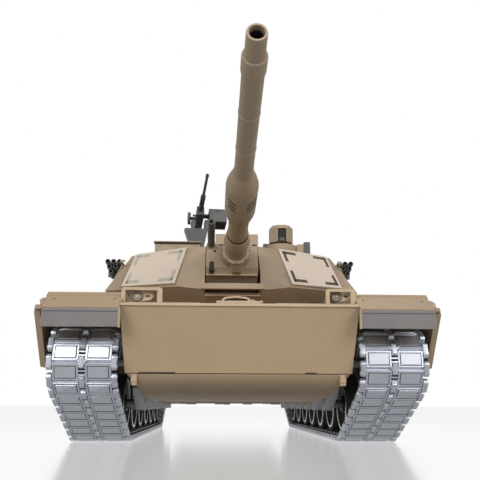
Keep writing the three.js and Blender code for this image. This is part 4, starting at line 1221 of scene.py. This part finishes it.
def mantlet():
    piece = Piece("gun_mantlet", "turret", "dark", "gun", "trim_and_highlight")
    piece.at(Matrix.Identity(4))
    piece.node("mantlet", 0.4)
    piece.at(GUN_FRAME)
    for x, z in circle(8, 9.7, -2):
        piece.rod((x, -61.9, z), (x, -62.2, z), 0.62, 12, 1, soft=0.05)
    # Flange rim in the lighter tan: a painted highlight.
    piece.ring((0, -62, 0), (0, -1, 0), 8.3, 9.5, -0.2, 0.5, 48, 3, 0.2)
    piece.lathe([(6.6, 56), (8.3, 56), (8.3, 66), (7.5, 72), (7.3, 78), (7.5, 79), (9.0, 80), (9.3, 81.5),
            (9.0, 83.5), (8.0, 92), (7.45, 92), (7.45, 80.6), (6.6, 80.6), (6.6, 56)], ORIGIN, FORWARD,
            56)
    piece.hull([(x, y, z) for x, y in ((-4.2, -61), (5.6, -61), (-4.2, -46), (5.6, -46)) for z in (-8.4,
            -9.4)] + [(x, y, -13.6) for x in (-2.6, 4.0) for y in (-52.4, -48)], 0.4)
    piece.rod((0.6, -55.0, -11.6), (0.6, -55.6, -12.2), 0.6, 10, 1, soft=0.05)
    # Bar along the mantlet's foot in the lighter tan: a painted highlight.
    piece.rod((-22.0, -47.2, -13.7), (16.6, -47.2, -13.7), 0.85, 12, 3)
    keyhole = [(1.75 * cos(a), 1.75 * sin(a)) for a in [radians(d) for d in range(0, 181, 20)]]
    keyhole += [(-1.75, -6.6), (1.75, -6.6)]
    face = front_face()
    piece.at(GUN_FRAME @ face @ Matrix.Translation((-17.8, 0, 4.2)))
    piece.prism(keyhole, "y", -0.12, 1.0, 0.0, 1)
    piece.at(GUN_FRAME)
    piece.wedge((-19.7, -16.2), ((-51.25, -9.0), (-51.35, -9.6), (-47.5, -14.4), (-47.0, -13.8)), 0.0, 1)
    piece.at(GUN_FRAME @ face)
    piece.rod((-15.6, 0.6, 16.4), (-15.6, -0.12, 16.4), 1.15, 16, 1, soft=0.05)
    piece.at(GUN_FRAME)
    for x0, x1 in ((-12.3, -8.2), (13.2, 16.6)):
        piece.wedge((x0, x1), ((-42.2, 11.8), (-41.3, 13.2), (-41.0, 11.4), (-40.4, 12.8)), 0.0, 1)
    coax = (-18.3, 0, 11.5)
    piece.lathe([(0, 34), (3.2, 34), (3.2, 45.0), (2.9, 45.4), (2.9, 30), (0, 30)], coax, (0, -1, 0), 24)
    piece.lathe([(0, 40), (2.85, 40), (2.85, 48), (2.7, 48.6), (2.7, 88.4), (2.5, 88.8), (1.7, 88.8),
            (1.6, 80), (0, 80)], coax, (0, -1, 0), 24, 2)
    for k in range(5):
        for x, z in circle(6, 1):
            out = Vector((x, 0, z))
            at = Vector((coax[0], -58 - 4.6 * k, coax[2])) + out * 2.6
            piece.rod(at, at + out * 0.2, 0.55, 8, 1, soft=0.02)
    piece.ride("mantlet", "turret_paint", "mantlet")


def front_face():
    """Frame on the mantlet's sloping front face: x across, y into the face, z up the slope."""
    low, high = Vector((0, -51.2, -9.4)), Vector((0, -44.6, 7.7))
    up = (high - low).normalized()
    inward = Vector((1, 0, 0)).cross(up) * -1
    matrix = Matrix((Vector((1, 0, 0)), inward, up)).transposed().to_4x4()
    matrix.translation = low
    return matrix


def barrel():
    """Thermal sleeve, bore evacuator with its vent slots, muzzle collar and the hollow muzzle."""
    piece = Piece("gun_barrel", "turret", "dark", "gun")
    piece.at(GUN_FRAME)
    profile = [(0, 5.6), (6.2, 5.6), (6.3, 91), (6.8, 94), (7.3, 96), (7.3, 97.4), (6.9, 98.2),
            (6.7, 104), (6.8, 116), (7.2, 121), (8.2, 126), (9.2, 131), (9.65, 134.5), (9.8, 138),
            (9.8, 168), (9.6, 171), (9.0, 174), (7.6, 179.5), (6.3, 183), (5.9, 184), (5.85, 187),
            (5.5, 188), (5.4, 200), (5.25, 278.5), (5.75, 279), (5.8, 279.6), (5.8, 288.6), (5.6, 289.4),
            (4.75, 289.6), (4.6, 290), (4.55, 303.2), (4.35, MUZZLE), (3.5, MUZZLE), (3.35, MUZZLE - 0.6)]
    profile += [(3.3, 262.0), (0, 262.0)]
    piece.lathe(profile, ORIGIN, FORWARD, 64)
    piece.lathe([(0, 262.4), (3.24, 262.4), (3.24, MUZZLE - 3.0), (3.0, MUZZLE - 3.0), (3.0, 263.0),
            (0, 263.0)], (0, 0, 0), (0, -1, 0), 48, 1)
    piece.ring(ORIGIN, FORWARD, 5.0, 5.62, 212.0, 213.2, 48, 0, 0.1)
    piece.ring(ORIGIN, FORWARD, 5.0, 5.55, 246.0, 247.0, 48, 0, 0.1)
    for side, first, last in ((-1, 24, 52), (1, 22, 66)):
        for k in range(3):
            for step in range(9):
                angle = radians(-90 + side * (first + (last - first) * step / 8))
                at = Vector((9.5 * cos(angle), -(150.0 + 4.6 * k + 0.35 * step), 9.5 * sin(angle)))
                piece.at(GUN_FRAME @ Matrix.Translation(at) @ Matrix.Rotation(-(angle + pi / 2), 4, "Y"))
                piece.box((-0.56, 0.56), (-0.75, 0.75), (-0.34, 0.4), 0.0, 1)
            piece.at(GUN_FRAME)
    piece.ride("barrel", "turret_paint", "barrel")


# ------------------------------------------------------------------------------- machine gun
MG_YAW = 6.7
MG_RISE = 15


def cradle():
    piece = Piece("gun_mount", "gun", "arm")
    piece.node("gun_cradle", 0.35)
    at = pivot("machine_gun_elevation")
    for side in (-1, 1):
        start = Vector((at.x + side * 4.9, at.y, at.z - 4))
        piece.rod(start, start + Vector((side * 3.4, 0, 0)), 1.6, 6, 1)
    centre = pivot("cradle_turn")
    for x, y in circle(16, 22.4):
        piece.rod((centre.x + x, centre.y + y, 162.0), (centre.x + x, centre.y + y, 162.6), 0.7, 6, 1)
    piece.ride("cradle", "gun_grey", "gun_cradle")


def machine_gun():
    piece = Piece("roof_machine_gun", "gun", "box_grey", "dark", "rim")
    place = Matrix.Translation(pivot("machine_gun_elevation")) @ rotation(MG_YAW,
            "Z") @ rotation(-MG_RISE, "X")
    piece.at(place)
    piece.box((-3.4, 3.4), (-13.6, 22), (-1.8, 7.4), 0.6)
    piece.wedge((-3.0, 3.0), ((-8, 7.2), (14, 7.2), (12, 8.8), (-6, 8.8)), 0.4)
    piece.box((-3.7, 3.7), (6, 9), (1, 7.8), 0.3)
    piece.lathe([(0, 12), (2.6, 12), (2.6, 15), (2.25, 16), (2.25, 36.4), (1.9, 37), (0, 37)], (0, 0, 4),
            (0, -1, 0), 22)
    for ring in range(5):
        for x, z in circle(6, 1):
            out = Vector((x, 0, z))
            at = Vector((0, -(18.5 + 3.9 * ring), 4)) + out * 2.15
            piece.rod(at, at + out * 0.18, 0.62, 8, 2, soft=0.02)
    piece.lathe([(0, 36), (1.35, 36), (1.2, 66), (1.5, 66.6), (1.5, 70), (0.8, 70), (0.8, 64), (0, 64)],
            (0, 0, 4), (0, -1, 0), 18)
    piece.box((-0.5, 0.5), (-66.5, -64.5), (5.0, 7.0), 0.15)
    piece.box((-0.6, 0.6), (8.5, 10.5), (8.4, 10.6), 0.2)
    for side in (-1, 1):
        piece.tube([(side * 1.6, 21, 1.5), (side * 3.6, 27.6, 1.5), (side * 3.6, 27.6, 7.6),
                (side * 1.2, 26.4, 8.4)], 0.95, 10)
    piece.rod((-3.2, 0, 5), (-6.2, 0, 5), 0.9, 12)
    piece.ring((-9.4, 4, 4), (1, 0, 0), 2.0, 6.0, -1.2, 1.2, 32, 0, 0.3)
    piece.rod((-10.6, 4, 4), (-3.2, 4, 4), 1.6, 16)
    for y, z in circle(5, 5):
        piece.rod((-9.4, 4, 4), (-9.4, 4 + y, 4 + z), 0.7, 8)
    piece.box((3.0, 9.2), (-2.9, 2.9), (3.6, 5.4), 0.3)
    ammo_box(piece)
    piece.ride("machine_gun", "gun_grey", "machine_gun")


def ammo_box(piece):
    piece.box((8.6, 25.2), (-7.8, 6.8), (-5.0, 7.4), 0.6, 1)
    piece.box((8.4, 25.4), (-8.0, 7.0), (6.6, 8.5), 0.4)
    piece.box((8.8, 25.0), (-7.7, 6.7), (-5.5, -4.4), 0.4, 2)
    piece.box((10.6, 23.2), (-8.1, -7.4), (-3.2, 5.0), 0.3, 1)
    piece.box((15.6, 18.2), (-8.4, -7.6), (5.0, 7.6), 0.25)
    for x in (10.2, 23.6):
        piece.rod((x, -7.6, 7.6), (x, -8.3, 7.6), 0.55, 8)


# ------------------------------------------------------------------------------- stage
def stage():
    mesh = bpy.data.meshes.new("floor")
    corners = [(x * FLOOR_REACH, y * FLOOR_REACH, 0) for x, y in ((-1, -1), (1, -1), (1, 1), (-1, 1))]
    mesh.from_pydata(corners, [], [(0, 1, 2, 3)])
    mesh.materials.append(floor_surface("floor_white"))
    floor = bpy.data.objects.new("floor", mesh)
    bpy.context.scene.collection.objects.link(floor)
    floor.location.z = -0.0002
    floor.visible_diffuse = False
    floor.visible_glossy = False


# direction, from, to, strength at from, strength at to: sides, above, rear horizon, below
WORLD_RAMPS = (("Y", -0.75, 0.15, 0.42, 0.38), ("Z", 0.3, 0.9, 0.0, 0.2), ("Y", 0.84, 0.91, 0.0, 0.85),
        ("Z", -0.4, 0.0, 1.35, 1.0))
# name, place and target in metres, size in metres, watts
LAMPS = (("overhead", (-0.1, -0.5, 1.6), (0, 0.0, 0.1), 1.1, 1),
        ("front_right", (-0.95, -1.6, 0.85), (0, -0.1, 0.08), 0.9, 22),
        ("front_left", (1.05, -1.55, 0.83), (0, -0.1, 0.08), 0.9, 19),
        ("back", (0.3, 1.7, 1.3), (0, 0.1, 0.1), 0.9, 10))
SENSOR_MM, LENS_MM = 36.0, 49.97
CAMERA_PLACE = (-15.4, -549.6, 24.3)
CAMERA_TURN = (90 + 13.86, -0.15, -2.33)
FLOOR_REACH = 9.0


def studio_world():
    """White backdrop, shedding light that is stronger low at the rear and from below."""
    world = bpy.data.worlds.new("studio")
    bpy.context.scene.world = world
    world.use_nodes = True
    nodes, links = world.node_tree.nodes, world.node_tree.links
    split = nodes.new("ShaderNodeSeparateXYZ")
    links.new(nodes.new("ShaderNodeTexCoord").outputs["Generated"], split.inputs[0])
    shades = []
    for output, low, high, dark, bright in WORLD_RAMPS:
        ramp = nodes.new("ShaderNodeMapRange")
        ramp.interpolation_type = "SMOOTHSTEP"
        for socket, value in (("From Min", low), ("From Max", high), ("To Min", dark), ("To Max", bright)):
            ramp.inputs[socket].default_value = value
        links.new(split.outputs[output], ramp.inputs["Value"])
        shades.append(ramp.outputs["Result"])
    mixed = shades[0]
    for operation, shade in (("MAXIMUM", shades[1]), ("ADD", shades[2]), ("MULTIPLY", shades[3])):
        step = nodes.new("ShaderNodeMath")
        step.operation = operation
        links.new(mixed, step.inputs[0])
        links.new(shade, step.inputs[1])
        mixed = step.outputs[0]
    around = nodes["Background"]
    links.new(mixed, around.inputs["Strength"])
    backdrop = nodes.new("ShaderNodeBackground")
    for shade in (around, backdrop):
        shade.inputs["Color"].default_value = (1.0, 1.0, 1.0, 1.0)
    final = nodes.new("ShaderNodeMixShader")
    links.new(nodes.new("ShaderNodeLightPath").outputs["Is Camera Ray"], final.inputs[0])
    links.new(around.outputs[0], final.inputs[1])
    links.new(backdrop.outputs[0], final.inputs[2])
    links.new(final.outputs[0], nodes["World Output"].inputs["Surface"])


def lights():
    """Soft boxes: one overhead, one on each side of the camera and one behind."""
    studio_world()
    for name, place, target, size, power in LAMPS:
        data = bpy.data.lights.new(name, "AREA")
        data.size = size
        data.energy = power
        lamp = bpy.data.objects.new(name, data)
        lamp.location = place
        lamp.rotation_euler = (Vector(target) - Vector(place)).to_track_quat("-Z", "Y").to_euler()
        bpy.context.scene.collection.objects.link(lamp)


def camera():
    """Low front view, just above the floor and looking up a little."""
    data = bpy.data.cameras.new("front_low")
    data.sensor_width = SENSOR_MM
    data.lens = LENS_MM
    data.clip_start = 0.01
    view = bpy.data.objects.new("front_low", data)
    view.location = Vector(CAMERA_PLACE) * MM
    view.rotation_euler = [radians(angle) for angle in CAMERA_TURN]
    bpy.context.scene.collection.objects.link(view)
    bpy.context.scene.camera = view


def main():
    bpy.context.scene.view_settings.view_transform = "Standard"
    camera()
    lights()
    stage()
    tracks()
    wheels()
    lower_hull()
    upper_hull()
    skirts()
    mud_flaps()
    headlights()
    driver_hatch()
    engine_door()
    inner_parts()
    turret_shell()
    cheek_panels()
    rack()
    sight_box()
    smoke_launchers()
    viewer()
    hatches()
    mantlet()
    barrel()
    cradle()
    machine_gun()


main()
